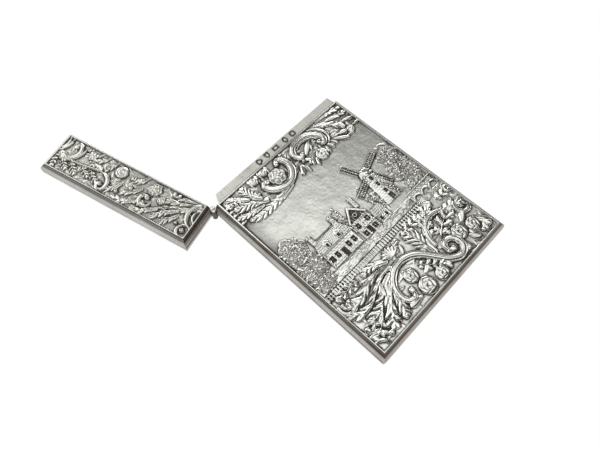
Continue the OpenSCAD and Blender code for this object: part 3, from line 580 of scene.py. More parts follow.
def quoins(cx, cy, w, h, tall, course=0.8):
    """Corner stones, long and short by turns, at both ends of a wall."""
    for n in range(int(h / course)):
        long = 0.85 if n % 2 else 0.55
        for side in (-1, 1):
            front.block(cx + side * (w / 2 - long / 2), cy + n * course + 0.06, long, course - 0.12,
                        tall + 0.16)


def timbers(cx, cy, w, h, tall, pitch=1.15):
    """The upright and level timbers of a framed wall."""
    count = int(w / pitch)
    for n in range(count + 1):
        front.block(cx - w / 2 + 0.18 + (w - 0.36) * n / count, cy, 0.24, h, tall + 0.13)
    for y in (cy, cy + h / 2, cy + h - 0.3):
        front.block(cx, y, w, 0.26, tall + 0.15)


def chimney(cx, cy, w, h, tall):
    """A stack with its cap and its two pots."""
    stone_wall(cx, cy, w, h, tall, 0.6)
    front.block(cx, cy + h, w + 0.5, 0.5, tall + 0.12)
    for d in (-0.3, 0.3):
        front.block(cx + d * w, cy + h + 0.5, 0.5, 0.9, tall + 0.04)


for x, y, wide, high, tall in (
    (-24, -9.6, 20, 14, 0.10), (27, -9.6, 19, 12, 0.12), (2, -9.6, 21, 7, 0.16), (14.5, -10, 13, 5.4, 0.30),
):
    def hill(r, a):
        return np.where(np.sin(a) > -0.02, tall * np.maximum(0, 1 - r ** 2) ** 0.35, off)

    front.round(x, y, wide, hill, 0, high / wide)

# the long cottage
stone_wall(-14.4, -9.2, 15.4, 6.6, 0.52, 0.95, lean=0.10)
quoins(-14.4, -9.2, 15.4, 6.6, 0.52)
tiled_roof(-14.4, -2.6, 17.2, 6.0, 0.62, 0.74)
front.block(-14.4, -2.8, 17.6, 0.42, 0.84)
front.block(-14.4, 3.3, 12.9, 0.40, 0.80)
for x in (-20.2, -17.4, -11.4, -8.6):
    window_pane(x, -7.2, 1.6, 2.5)
front.block(-14.4, -9.2, 1.8, 3.8, 0.30, cut=True)
for x in (-20.4, -8.8):
    chimney(x, 2.4, 1.8, 3.6, 0.74)
for x in (-17.4, -11.4):
    front.block(x, -1.8, 2.2, 2.0, 0.86)
    front.block(x, 0.2, 2.9, 1.5, 0.92, 0.1)
    window_pane(x, -1.5, 1.1, 1.4, 0.22, False)
# the gabled house beside it, and its barn
stone_wall(-1.2, -10.0, 8.6, 8.4, 0.66, 0.95, lean=-0.12)
timbers(-1.2, -6.0, 8.6, 4.4, 0.66)
quoins(-1.2, -10.0, 8.6, 4.0, 0.66)
front.block(-1.2, -1.6, 9.9, 6.2, 0.90, 0.04)
front.block(-1.2, -1.6, 7.9, 4.8, 0.34, 0.04, cut=True)
for x in (-3.6, -2.6, 0.2, 1.2):
    front.block(x, -1.6, 0.24, 4.6 - 1.35 * abs(x + 1.2), 0.74)
front.round(-1.2, 0.2, 0.95, lambda r, a: np.where(r > 0.6, 0.82, 0.45))
for x in (-3.7, 1.3):
    window_pane(x, -5.2, 1.7, 2.4)
    window_pane(x, -9.2, 1.7, 2.3)
front.block(-1.2, -10.0, 1.6, 3.6, 0.34, cut=True)
chimney(2.4, 1.6, 1.6, 4.2, 0.72)
stone_wall(6.6, -10.0, 5.4, 4.0, 0.52, 0.8, lean=0.08)
tiled_roof(6.6, -6.0, 6.4, 3.4, 0.60, 0.7)
timbers(6.6, -10.0, 5.4, 4.0, 0.52, 0.9)
for x in (5.2, 7.9):
    window_pane(x, -8.8, 1.0, 1.6, 0.3, False)
# the mill: a stone tower under a turning cap, with four lattice sails
mill_x, mill_foot, mill_head = 15.4, -6.4, 8.6
stone_wall(mill_x, mill_foot, 8.8, mill_head - mill_foot, 0.92, 1.05, 0.62, bow=0.5)
front.block(mill_x, mill_head - 0.5, 6.4, 0.7, 1.0)
front.round(mill_x, mill_head + 0.2, 2.9,
            lambda r, a: np.where(np.sin(a) > -0.05, 0.55 + 0.45 * np.sqrt(1 - r ** 2), off))
for y in (-2.4, 1.6, 5.2):
    window_pane(mill_x, y, 1.2, 1.9)
front.block(mill_x, mill_foot, 2.0, 3.2, 0.30, cut=True)
sail_long, sail_wide, sail_bars = 10.6, 2.3, 10
hub = np.array([mill_x, mill_head])
for turn in (22, 112, 202, 292):
    along = np.array([math.cos(math.radians(turn)), math.sin(math.radians(turn))])
    across = np.array([-along[1], along[0]])
    front.along([hub, hub + sail_long * along], 0.26, lambda u, t: 1.25 * dome(u, 2, 0.4))
    for d in np.linspace(2.8, sail_long - 0.1, sail_bars):
        start = hub + d * along
        front.along([start, start + sail_wide * across], 0.13, lambda u, t: 1.1 * dome(u, 4, 0.5))
    for e in (sail_wide / 2, sail_wide):
        start = hub + 2.8 * along + e * across
        front.along([start, start + (sail_long - 2.9) * along], 0.13, lambda u, t: 1.12 * dome(u, 4, 0.5))
front.round(mill_x, mill_head, 0.85, lambda r, a: 1.15 + 0.25 * np.sqrt(1 - r ** 2))
# the bridge over the stream
stone_wall(26.0, -13.4, 14.4, 4.2, 0.60, 0.75)
front.block(26.0, -9.2, 14.8, 0.7, 0.80)
for x in (21.6, 26.0, 30.4):
    front.round(x, -13.4, 2.3, lambda r, a: np.where((r > 0.8) & (np.sin(a) > 0), 0.78, off))
    win, gx, gy = front.over(x - 1.9, x + 1.9, -13.5, -11.2)
    front.h[win] = np.where((np.hypot(gx - x, gy + 13.4) < 1.84) & (gy + 13.4 > 0), 0.06, front.h[win])
for _ in range(170):
    x, y = front.chance.uniform(18, 32.6), front.chance.uniform(-16.2, -13.4)
    front.along([(x, y), (x + front.chance.uniform(0.8, 2.4), y)], 0.14, lambda u, t: 0.17 * dome(u))

# crowns of the trees, as x, y, half width and half height, each in clumps for
# its leaves to stand on
clump_edge = 32.9        # how far from the middle a clump may reach
golden_turn = 2.39996    # spreads the clumps evenly over a crown
clumps = []
for x, y, wide, high in (
    (-28.2, 6.0, 5.2, 6.6), (-31.2, -3.4, 3.6, 5.0), (-25.0, -2.6, 3.6, 4.6), (-28.8, -9.6, 5.0, 3.8),
    (28.6, 9.0, 4.6, 5.6), (24.6, 1.0, 3.6, 4.8), (31.0, -0.6, 3.6, 4.8), (27.2, -6.0, 5.0, 3.4),
    (-5.9, 3.2, 1.3, 5.6), (8.2, 2.2, 1.4, 5.4), (10.6, -1.0, 1.1, 3.6),
):
    front.along([(x, y - high), (x, y - high - 2.6)], 0.45, lambda u, t: 0.42 * dome(u))
    front.round(x, y, wide * 0.9, lambda r, a: 0.10 + 0.32 * np.sqrt(1 - r ** 2), 0, high / wide)
    count = int(wide * high * 0.62) + 3
    r = 0.34 * min(wide, high) + 0.55
    for k in range(count):
        out, a = math.sqrt((k + 0.5) / count), k * golden_turn
        inward = clump_edge - r
        clump_x = min(max(x + out * (wide - 0.5 * r) * math.cos(a), -inward), inward)
        clump_y = y + out * (high - 0.5 * r) * math.sin(a)
        clumps.append((clump_x, clump_y, r, 0.16 + 0.34 * math.sqrt(1 - 0.8 * out ** 2)))
for x, y, r, top in clumps:
    front.round(x, y, r, lambda rho, a: top * (0.45 + 0.75 * np.sqrt(1 - rho ** 2)))
    # each clump is browned under its leaves: patina, and painted shade between the leaves
    win, gx, gy = front.over(x - r, x + r, y - r, y + r)
    front.brown[win] = np.maximum(front.brown[win], np.where(np.hypot(gx - x, gy - y) < r, 0.66, 0))

# the lawn in front, that slopes down to its fence
lawn_back, lawn_top, lawn_slope = -9.8, 0.50, 0.09
win, gx, gy = front.over(-33.2, 18.6, -13.4, lawn_back)
front.h[win] = np.maximum(front.h[win], lawn_top - lawn_slope * (lawn_back - gy))
for _ in range(210):
    x, y = front.chance.uniform(-33, 18), front.chance.uniform(-13.3, -9.9)
    blade_end = (x + front.chance.uniform(0.9, 2.6), y + front.chance.uniform(-0.3, 0.5))
    front.along([(x, y), blade_end], 0.18,
                lambda u, t: (0.62 + lawn_slope * (y - lawn_back)) * dome(u, 2, 0.4))
for x in np.linspace(-33.0, 18.2, 42):
    front.block(x, -16.2, 0.72, 2.5, 0.34)
for y in (-14.4, -15.6):
    front.block(-7.4, y, 51.6, 0.34, 0.30)

# where the ground is browned: behind the fence, where polishing leaves it brown;
# over the whole crest, forms and ground, as painted shade; and along both sides of the sky, darker towards
# the borders
win, _, _ = front.over(-33.2, 18.6, -16.3, -13.5)
front.brown[win] = np.where(front.h[win] < 0.28, 0.7, 0.0)
# painted shade over the crest, growing from 25 mm to 29 mm up the sheet
front.brown += 0.26 * np.clip((front.y[:, None] - 25) / 4, 0, 1)
for x, share, wide in ((-33.2, 0.50, 6.0), (33.2, 0.30, 2.4)):
    sky = (front.h < 0.1) * (front.y[:, None] > -17)
    front.brown += share * np.exp(-((front.x[None, :] - x) / wide) ** 2) * sky


def matted(die, fine=0.009, broad=0.012):
    """Gives the ground the uneven, punched face that it has in the die."""
    noise = die.chance.normal(size=die.h.shape)
    small, large = soften(noise, 0.19 / die_step), soften(noise, 1.5 / die_step)
    low = np.clip(1 - die.h / 0.5, 0.25, 1)
    die.h += low * (fine * small / small.std() + broad * large / large.std())


def settled(piece):
    """Makes the result of a piece's modifier its own mesh, and takes the modifier off."""
    graph = bpy.context.evaluated_depsgraph_get()
    mesh = bpy.data.meshes.new_from_object(piece.evaluated_get(graph))
    piece.modifiers.clear()
    piece.data = mesh
    return mesh


def strike(name, die, metal, limit=relief_limit, faces=185000, back=False, swing=None):
    """The struck sheet as a closed mesh: face from the die, plain border, flat inside. Its
    even parts are thinned to so many faces."""
    relief = np.maximum(die.h, -0.1) / (1 + (np.maximum(die.h, 0) / limit) ** 4) ** 0.25
    relief = soften(relief, 0.5)
    gx, gy = np.meshgrid(die.x, die.y)
    edge = np.minimum(sheet_half - np.abs(gx), np.minimum(gy - die.y[0], die.y[-1] - gy))
    rim_low = 0.16
    rim = np.clip((border_wide - edge) / rim_low + 0.5, 0, 1)
    relief *= np.clip(0.42 + 0.58 * (edge - border_wide) / 1.7, 0.42, 1)
    bead_line = rim_low + (border_tall - rim_low) * dome(np.clip((edge - 0.46) / 0.34, -1, 1), 4, 0.5)
    relief = relief * (1 - rim) + bead_line * rim
    dip_near = soften(relief, 0.42 / die_step) - relief
    dip_wide = soften(relief, 1.5 / die_step) - relief
    recess = np.clip(dip_near * 3.2, -1, 1) + np.clip(dip_wide * 0.75, -0.35, 0.4)
    recess = np.where(edge < rim_low, 0.9, recess + die.brown)
    ground = np.clip(1 - relief / 0.34, 0, 1) * (1 - rim)
    z = case_thick - border_tall + relief
    if back:
        z = case_thick - z
    rows, cols = z.shape
    ids = np.arange(rows * cols).reshape(rows, cols)
    quads = np.stack([ids[:-1, :-1], ids[:-1, 1:], ids[1:, 1:], ids[1:, :-1]], -1).reshape(-1, 4)
    whole = bpy.data.meshes.new(name)
    spots = np.stack([gx.ravel(), gy.ravel(), z.ravel()], 1) * MM
    whole.from_pydata(spots, [], quads[:, ::-1] if back else quads)
    piece = put(name, whole)
    piece.modifiers.new("thin", "DECIMATE").ratio = min(1, faces / (2 * len(quads)))
    sheet = settled(piece)
    bpy.data.meshes.remove(whole)

    # the edges turned down to the flat inside of the sheet
    work = bmesh.new()
    work.from_mesh(sheet)
    inside_z = (border_tall + sheet_gauge if back else case_thick - border_tall - sheet_gauge) * MM
    walls = bmesh.ops.extrude_edge_only(work, edges=[edge for edge in work.edges if edge.is_boundary])
    for spot in (item for item in walls["geom"] if isinstance(item, bmesh.types.BMVert)):
        spot.co.z = inside_z
    bmesh.ops.contextual_create(work, geom=[edge for edge in work.edges if edge.is_boundary])
    bmesh.ops.recalc_face_normals(work, faces=work.faces)
    work.to_mesh(sheet)
    work.free()

    # how sunk each point is, with the die's browning added, for the patina and the painted shade
    places = np.empty(len(sheet.vertices) * 3)
    sheet.vertices.foreach_get("co", places)
    x, y, _ = places.reshape(-1, 3).T / MM
    i = np.clip(np.rint((x - die.x[0]) / (die.x[1] - die.x[0])).astype(int), 0, cols - 1)
    j = np.clip(np.rint((y - die.y[0]) / (die.y[1] - die.y[0])).astype(int), 0, rows - 1)
    for label, values in (("recess", recess), ("ground", ground)):
        mark = sheet.attributes.new(label, "FLOAT", "POINT")
        mark.data.foreach_set("value", values[j, i].astype(np.float32))
    sheet.polygons.foreach_set("use_smooth", np.ones(len(sheet.polygons), bool))
    sheet.set_sharp_from_angle(angle=math.radians(60))
    if swing is not None:
        sheet.transform(swing)
    sheet.materials.append(metal)
    return piece


def node_tree(kind, name, inputs, outputs):
    """A tree of nodes and its inputs' sockets. Its named inputs are given as their values,
    or as their kinds where they have none, and its named outputs as their kinds."""
    tree = bpy.data.node_groups.new(name, kind)
    for label, value in inputs.items():
        socket = {float: "Float", int: "Int", tuple: "Color"}.get(type(value), value)
        made = tree.interface.new_socket(name=label, in_out="INPUT", socket_type="NodeSocket" + socket)
        if socket != value:
            made.default_value = value
    for label, socket in outputs.items():
        tree.interface.new_socket(name=label, in_out="OUTPUT", socket_type="NodeSocket" + socket)
    return tree, add_node(tree, "NodeGroupInput")


# Handling scratches: fine lines in two crossing directions
scratches, given = node_tree("ShaderNodeTree", "handling scratches", {"Fineness": 260.0, "Amount": 0.5},
                             {"Height": "Float", "Mask": "Float"})
place = add_node(scratches, "ShaderNodeTexCoord")["Object"]
crossing = []
for turn, stretch in ((0.5, 18.0), (-0.9, 26.0)):
    laid = add_node(scratches, "ShaderNodeMapping", {
        "Vector": place, "Rotation": (0, 0, turn), "Scale": (1, stretch, 1)})
    lines = add_node(scratches, "ShaderNodeTexNoise", {
        "Vector": laid[0], "Scale": given["Fineness"], "Detail": 3.0})
    crossing.append(add_node(scratches, "ShaderNodeMapRange", {
        "Value": lines["Fac"], "From Min": 0.56, "From Max": 0.70})[0])
deepest = maths(scratches, "MAXIMUM", *crossing)
add_node(scratches, "NodeGroupOutput", {
    "Height": deepest, "Mask": maths(scratches, "MULTIPLY", deepest, given["Amount"])})

# Tarnish: brown grey where polishing does not reach, and in faint clouds; its recess input also carries
# painted shade
tarnish_and_shade, given = node_tree("ShaderNodeTree", "tarnish_and_shade", {
    "Silver": (0.8, 0.79, 0.76, 1), "Tarnish": (0.1, 0.09, 0.08, 1), "Recess": 0.0, "Clouds": 0.2,
    "Cloud size": 130.0, "Polished": 0.24, "Dull": 0.6}, {"Color": "Color", "Roughness": "Float"})
place = add_node(tarnish_and_shade, "ShaderNodeTexCoord")["Object"]
clouds = add_node(tarnish_and_shade, "ShaderNodeTexNoise", {
    "Vector": place, "Scale": given["Cloud size"], "Detail": 5.0})
drift = add_node(tarnish_and_shade, "ShaderNodeMapRange", {"Value": clouds["Fac"], "From Min": 0.42, "From Max": 0.72})
total = maths(tarnish_and_shade, "MULTIPLY_ADD", drift[0], given["Clouds"], given["Recess"], use_clamp=True)
colour = add_node(tarnish_and_shade, "ShaderNodeMix", {
    0: total, 6: given["Silver"], 7: given["Tarnish"]}, data_type="RGBA")
dullness = add_node(tarnish_and_shade, "ShaderNodeMix", {
    0: total, 2: given["Polished"], 3: given["Dull"]}, data_type="FLOAT")
add_node(tarnish_and_shade, "NodeGroupOutput", {"Color": colour[2], "Roughness": dullness[0]})


def silver_finish(name, silver, stain, polished, dull, clouds, cloud_size, amount, fineness, recess=None,
                  metallic=1.0):
    """Silver with its own tarnish, clouds and scratches. recess(tree) makes the node output
    that says where it is dark."""
    material = bpy.data.materials.new(name)
    tree = emptied_tree(material)
    tone = add_node(tree, "ShaderNodeGroup", {
        "Silver": (*silver, 1), "Tarnish": (*stain, 1), "Recess": recess(tree) if recess else 0.0,
        "Clouds": clouds, "Cloud size": cloud_size, "Polished": polished, "Dull": dull}, node_tree=tarnish_and_shade)
    lines = add_node(tree, "ShaderNodeGroup", {"Fineness": fineness, "Amount": amount}, node_tree=scratches)
    dints = add_node(tree, "ShaderNodeBump", {
        "Strength": 0.1, "Distance": 0.00003, "Height": lines["Height"]}, invert=True)
    shader = add_node(tree, "ShaderNodeBsdfPrincipled", {
        "Metallic": metallic, "Base Color": tone["Color"], "Normal": dints[0],
        "Roughness": maths(tree, "ADD", tone["Roughness"], lines["Mask"], use_clamp=True)})
    add_node(tree, "ShaderNodeOutputMaterial", {"Surface": shader[0]})
    return material


def sunk_parts(low, high, ground_share):
    """Where struck silver is dark: its recesses, with the painted shade added to them, and a little of its
    matted ground.
    """
    def build(tree):
        sunk = add_node(tree, "ShaderNodeAttribute", attribute_name="recess")
        ground = add_node(tree, "ShaderNodeAttribute", attribute_name="ground")
        dark = add_node(tree, "ShaderNodeMapRange", {"Value": sunk["Fac"], "From Min": low, "From Max": high})
        return maths(tree, "MULTIPLY_ADD", ground["Fac"], ground_share, dark[0], use_clamp=True)

    return build


# the dark of the struck sheets' patina, also used for their painted shade
sunk_stain_and_shade = (0.085, 0.078, 0.070)
struck_silver = silver_finish("struck silver", (0.91, 0.915, 0.87), sunk_stain_and_shade, 0.17, 0.50, 0.16, 140.0, 0.06,
                              300.0, sunk_parts(0.17, 0.98, 0.03))
matted(front)
front_sheet = strike("front_sheet", front, struck_silver)
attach(front_sheet, "case")
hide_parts("front_panel")

# Leaves of the trees and the hedge
# The die sinker punched the foliage over the struck crowns with small leaf
# punches, one blow for each leaf, so it stands as a crowd of tiny domed leaves.


def made_real(tree, instances, metal):
    """The last nodes of a geometry tree: its instances made real, in their metal."""
    real = add_node(tree, "GeometryNodeRealizeInstances", {0: instances})
    dressed = add_node(tree, "GeometryNodeSetMaterial", {"Geometry": real[0], "Material": metal})
    add_node(tree, "NodeGroupOutput", {"Geometry": dressed[0]})


def grown(name, mesh, tree, values):
    """The piece, with a plain mesh, that a geometry tree makes out of another mesh."""
    piece = put(name, mesh)
    modifier = piece.modifiers.new("grow", "NODES")
    modifier.node_group = tree
    for item in tree.interface.items_tree:
        if item.in_out == "INPUT" and item.name in values:
            modifier[item.identifier] = values[item.name]
    settled(piece)
    return piece


leaf_tree, given = node_tree("GeometryNodeTree", "punched leaves", {
    "Geometry": "Geometry", "Leaves per square metre": 0.95e6, "Leaf length": 0.00080,
    "Leaf thickness": 0.00032, "Seed": 7, "Metal": "Material"}, {"Geometry": "Geometry"})
spread = add_node(leaf_tree, "GeometryNodeDistributePointsOnFaces", {
    "Mesh": given["Geometry"], "Density": given["Leaves per square metre"], "Seed": given["Seed"]})
size = add_node(leaf_tree, "ShaderNodeCombineXYZ", {
    0: given["Leaf length"], 1: maths(leaf_tree, "MULTIPLY", given["Leaf length"], 0.48),
    2: given["Leaf thickness"]})
blade = add_node(leaf_tree, "GeometryNodeMeshIcoSphere", {"Radius": 1.0, "Subdivisions": 1})
shaped = add_node(leaf_tree, "GeometryNodeTransform", {"Geometry": blade["Mesh"], "Scale": size[0]})
turn = add_node(leaf_tree, "FunctionNodeRandomValue", {0: (-0.35, -0.35, 0), 1: (0.35, 0.35, 6.28)},
                data_type="FLOAT_VECTOR")
growth = add_node(leaf_tree, "FunctionNodeRandomValue", {2: 0.7, 3: 1.25}, data_type="FLOAT")
placed = add_node(leaf_tree, "GeometryNodeInstanceOnPoints", {
    "Points": spread["Points"], "Instance": shaped[0], "Rotation": turn[0], "Scale": growth[1]})
made_real(leaf_tree, placed[0], given["Metal"])
leaf_silver = silver_finish("leaf silver", (0.83, 0.83, 0.80), (0.10, 0.09, 0.08), 0.24, 0.5, 0.8, 900.0,
                            0.05, 300.0)


def domes(name, places, spokes):
    """Low domes in one mesh, for leaves to be scattered over. Each has its middle, half
    width, half height, foot and rise."""
    spots, faces = [], []
    for x, y, wide, high, foot, rise in places:
        top = len(spots)
        inner, outer = top + 1, top + 1 + spokes
        spots.append((x, y, foot + rise))
        for rho in (0.5, 1.0):
            for k in range(spokes):
                a = 2 * math.pi * k / spokes
                spots.append((x + rho * wide * math.cos(a), y + rho * high * math.sin(a),
                              foot + rise * math.sqrt(1 - rho ** 2)))
        pairs = [(k, (k + 1) % spokes) for k in range(spokes)]
        faces += [(top, inner + k, inner + n) for k, n in pairs]
        faces += [(inner + k, outer + k, outer + n, inner + n) for k, n in pairs]
    mesh = bpy.data.meshes.new(name)
    mesh.from_pydata([Vector(spot) * MM for spot in spots], [], faces)
    return mesh


ground_face = case_thick - border_tall
crowns = domes("clumps", [(x, y, r, r, ground_face + 0.45 * top, 0.75 * top) for x, y, r, top in clumps], 9)
front_leaves = grown("front_tree_leaves", crowns, leaf_tree, {"Metal": leaf_silver, "Seed": 7})
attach(front_leaves, "case")

# low bushes along the foot of the houses
bushes = domes("bushes", [(x, -10.3 + 0.25 * math.sin(x * 2.3), 0.85, 0.75, ground_face + 0.20, 0.36)
                          for x in np.arange(-23.4, 10.4, 1.45)], 8)
hedge = grown("front_hedge", bushes, leaf_tree, {"Metal": leaf_silver, "Seed": 11, "Leaf length": 0.00036})
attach(hedge, "case")

# Fence along the lawn
# A row of pointed pales on two rails, cut in the die with one punch, blow by
# blow, along the front edge of the lawn.
pale_tree, given = node_tree("GeometryNodeTree", "pales along a line", {
    "Geometry": "Geometry", "Spacing": 0.00125, "Pale height": 0.0024, "Pale half width": 0.00030,
    "Metal": "Material"}, {"Geometry": "Geometry"})
line = add_node(pale_tree, "GeometryNodeMeshToCurve", {0: given["Geometry"]})
even = add_node(pale_tree, "GeometryNodeResampleCurve", {"Curve": line[0], "Length": given["Spacing"]},
                mode="LENGTH")
pale = add_node(pale_tree, "GeometryNodeMeshCone", {
    "Vertices": 5, "Radius Bottom": given["Pale half width"], "Depth": given["Pale height"],
    "Radius Top": maths(pale_tree, "MULTIPLY", given["Pale half width"], 0.45)})
laid = add_node(pale_tree, "GeometryNodeTransform", {
    "Geometry": pale["Mesh"], "Rotation": (-math.pi / 2, 0, 0)})
placed = add_node(pale_tree, "GeometryNodeInstanceOnPoints", {"Points": even[0], "Instance": laid[0]})
made_real(pale_tree, placed[0], given["Metal"])
fence_foot, fence_top = -16.1, ground_face + 0.28
run = bpy.data.meshes.new("fence line")
run.from_pydata([Vector((x, fence_foot, fence_top)) * MM for x in (-33.0, 18.2)], [(0, 1)], [])
fence = grown("front_fence", run, pale_tree, {"Metal": struck_silver})
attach(fence, "case")

# Back sheet of the case
# The second struck sheet, with shallow scrollwork that stays under its border,
# so that the case lies on the border and on the plain cartouche in its middle.
back_limit = 0.46
quarter = Die(base_line, mouth_line)
sink(
    quarter, acanthus,
    (3, 36, 345, -30, 16, 5.4, 5, 0.06, 0.5), (29, 12, 262, 10, 11, 5, 4, 0.06, 0.5),
    (14, 24, 320, 40, 12, 5.6, 5, 0.06, 0.5), (27, 28, 60, 30, 10, 5, 4, 0.06, 0.5),
    (6, 26, 250, 40, 9, 4.6, 4, 0.06, 0.5))
sink(
    quarter, c_scroll,
    (10, 31, 5.5, 4.4, 200, -10, 2.6, 0.1, 0.7, 0, 0.8), (24, 18, 5, 3.6, 120, 330, 2.4, 0.1, 0.7, 0, 0.8),
    (20, 31, 3, 1.2, 160, 400, 1.8, 0.1, 0.7, 0, 0.7))
sink(quarter, blossom, (10, 31.4, 2.6, 6, 0.1))
sink(quarter, rose, (29.5, 3.6, 2.4, 5, 0.1))
under_leaves(quarter, 1, 33, 12, 41, 200)
under_leaves(quarter, 14, 33, 0, 14, 90)
back = Die(base_line, mouth_line)
for u in (1, -1):
    for v in (1, -1):
        own = (back.x[None, :] * u >= 0) & (back.y[:, None] * v >= 0)
        back.h = np.where(own, quarter.h[::v, ::u], back.h)
from_middle = np.hypot(*np.meshgrid(back.x, back.y))
back.h = np.where(from_middle < 13.9, 0.0, back.h)
back.h = np.where((from_middle > 12.2) & (from_middle < 13.6), 0.8 * dome((from_middle - 12.9) / 0.7), back.h)
matted(back, 0.02, 0.0)
back.h[from_middle < 11.0] = 3.0
back_sheet = strike("back_sheet", back, struck_silver, back_limit, back=True)
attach(back_sheet, "case")
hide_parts("back_panel")

# Mouldings of the case
# Half round hollow strip, drawn plain and polished, mitred at the corners and
# soldered round the two sheets. Handling has rounded and scratched it.
# The brown tone of the mouldings' painted shade and painted dark reflection
brown = (0.135, 0.092, 0.072)


def painted_shade_by_height(stops, far=1.0):
    """How dark a moulding is painted at heights in mm, in stops from its foot to its border:
    bands of painted shade and painted dark reflection. It is browned less, by the share of far, 25 mm from
    the case's base on."""
    def build(tree):
        place = add_node(tree, "ShaderNodeTexCoord")["Object"]
        parts = add_node(tree, "ShaderNodeSeparateXYZ", {0: place})
        height = maths(tree, "DIVIDE", parts["Z"], case_thick * MM)
        shares = colour_ramp(tree, height, [(z / case_thick, (share,) * 3) for z, share in stops])
        along = add_node(tree, "ShaderNodeMapRange", {
            "Value": parts["Y"], "From Min": -0.040, "From Max": -0.015, "To Min": 1.0, "To Max": far})
        return maths(tree, "MULTIPLY", shares, along[0])

    return build


def drawn_silver(name, silver, polished, dull, metallic, far, *shares):
    """Silver of a drawn moulding, given bands of painted shade and painted dark reflection by so many shares
    at its lines.
    """
    lines = (0.0, 2.2, 2.8, 3.7, 4.0, 4.4, 4.7, 5.1, 5.4, 6.7, 7.0, 7.4, 7.7)
    return silver_finish(name, silver, brown, polished, dull, 0.22, 90.0, 0.10, 240.0,
                         painted_shade_by_height(list(zip(lines, shares)), far), metallic)


def dress(material, *names):
    """Gives CAD pieces their metal."""
    for name in names:
        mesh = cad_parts[name].data
        mesh.materials.clear()
        mesh.materials.append(material)


# The side mouldings get a painted shade copy of their own: darker silver, and more painted shade at their
# lower lines but less near their border and further up the case
side_silver = drawn_silver("side moulding silver", (0.74, 0.74, 0.71), 0.14, 0.30, 0.45, 0.86,
                           0.90, 0.84, 0.66, 0.62, 0.34, 0.34, 0.94, 0.94, 0.24, 0.30, 0.96, 0.96, 0.20)
moulding_silver = drawn_silver("moulding silver", (0.76, 0.76, 0.73), 0.15, 0.32, 0.60, 1.0,
                               0.86, 0.80, 0.62, 0.56, 0.30, 0.30, 0.90, 0.90, 0.44, 0.48, 0.94, 0.94, 0.36)
dress(moulding_silver, "base_moulding", "body_bearer")
dress(side_silver, "hinge_side_moulding", "free_side_moulding")

# Liner
# A flat sleeve of plain silver, held in the case's mouth. It stands out by
# 4 mm as a flange for the lid to slide over, satin from rubbing in it.


def rubbed(tree):
    """Streaks along the way the lid slides, and a dark line where it stops against the sheets."""
    place = add_node(tree, "ShaderNodeTexCoord")["Object"]
    laid = add_node(tree, "ShaderNodeMapping", {"Vector": place, "Scale": (1.0, 0.05, 1.0)})
    streaks = add_node(tree, "ShaderNodeTexNoise", {"Vector": laid[0], "Scale": 900.0, "Detail": 2.0})
    share = add_node(tree, "ShaderNodeMapRange", {
        "Value": streaks["Fac"], "From Min": 0.50, "From Max": 0.72, "To Min": 0.0, "To Max": 0.30})
    parts = add_node(tree, "ShaderNodeSeparateXYZ", {0: place})
    stop = add_node(tree, "ShaderNodeMapRange", {
        "Value": parts["Y"], "From Min": 0.0421, "From Max": 0.0425, "To Min": 1.0, "To Max": 0.0})
    return maths(tree, "MAXIMUM", share[0], stop[0])


liner_silver = silver_finish("liner silver", (0.90, 0.90, 0.84), (0.36, 0.33, 0.28), 0.34, 0.5, 0.50, 120.0,
                             0.10, 320.0, rubbed)
dress(liner_silver, "liner")

# Five small punched marks in a row on the flange, left plain: each is a
# tarnished outline round a bare field
flange_face, flange_middle = 7.02, 44.0
mark_dark = silver_finish("mark outline", (0.16, 0.15, 0.135), (0.05, 0.045, 0.04), 0.4, 0.6, 0.9, 700.0, 0.1,
                          300.0)
three_lobed = [((1.35 + 0.16 * math.cos(3 * a)) * math.cos(a), (1.35 + 0.16 * math.cos(3 * a)) * math.sin(a))
               for a in np.linspace(0, 2 * math.pi, 36, endpoint=False)]
oval = [(1.15 * math.cos(a), 1.45 * math.sin(a)) for a in np.linspace(0, 2 * math.pi, 24, endpoint=False)]
mark_shapes = (
    (-9.0, three_lobed),
    (-4.6, [(-1.15, 0.2), (-0.8, -0.8), (0, -1.5), (0.8, -0.8), (1.15, 0.2), (1.1, 1.35), (-1.1, 1.35)]),
    (0.2, [(-1.45, -1.0), (1.45, -1.0), (1.45, 1.0), (-1.45, 1.0)]),
    (5.7, oval),
    (10.0, [(-1.3, -0.8), (-0.8, -1.3), (0.8, -1.3), (1.3, -0.8),
            (1.3, 0.8), (0.8, 1.3), (-0.8, 1.3), (-1.3, 0.8)]),
)
for label, share, high, metal in (
    ("mark_outlines", 1.08, 0.03, mark_dark), ("mark_fields", 0.46, 0.055, liner_silver),
):
    spots, faces = [], []
    for x, outline in mark_shapes:
        count = len(outline)
        low, top = len(spots), len(spots) + count
        for z in (flange_face - 0.02, flange_face + high):
            spots += [Vector((x + share * u, flange_middle + share * v, z)) * MM for u, v in outline]
        faces += [[top + k for k in range(count)], [top - 1 - k for k in range(count)]]
        for k in range(count):
            n = (k + 1) % count
            faces.append((low + k, low + n, top + n, top + k))
    mesh = bpy.data.meshes.new(label)
    mesh.from_pydata(spots, [], faces)
    mesh.materials.append(metal)
    marks = put(label, mesh)
    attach(marks, "case")

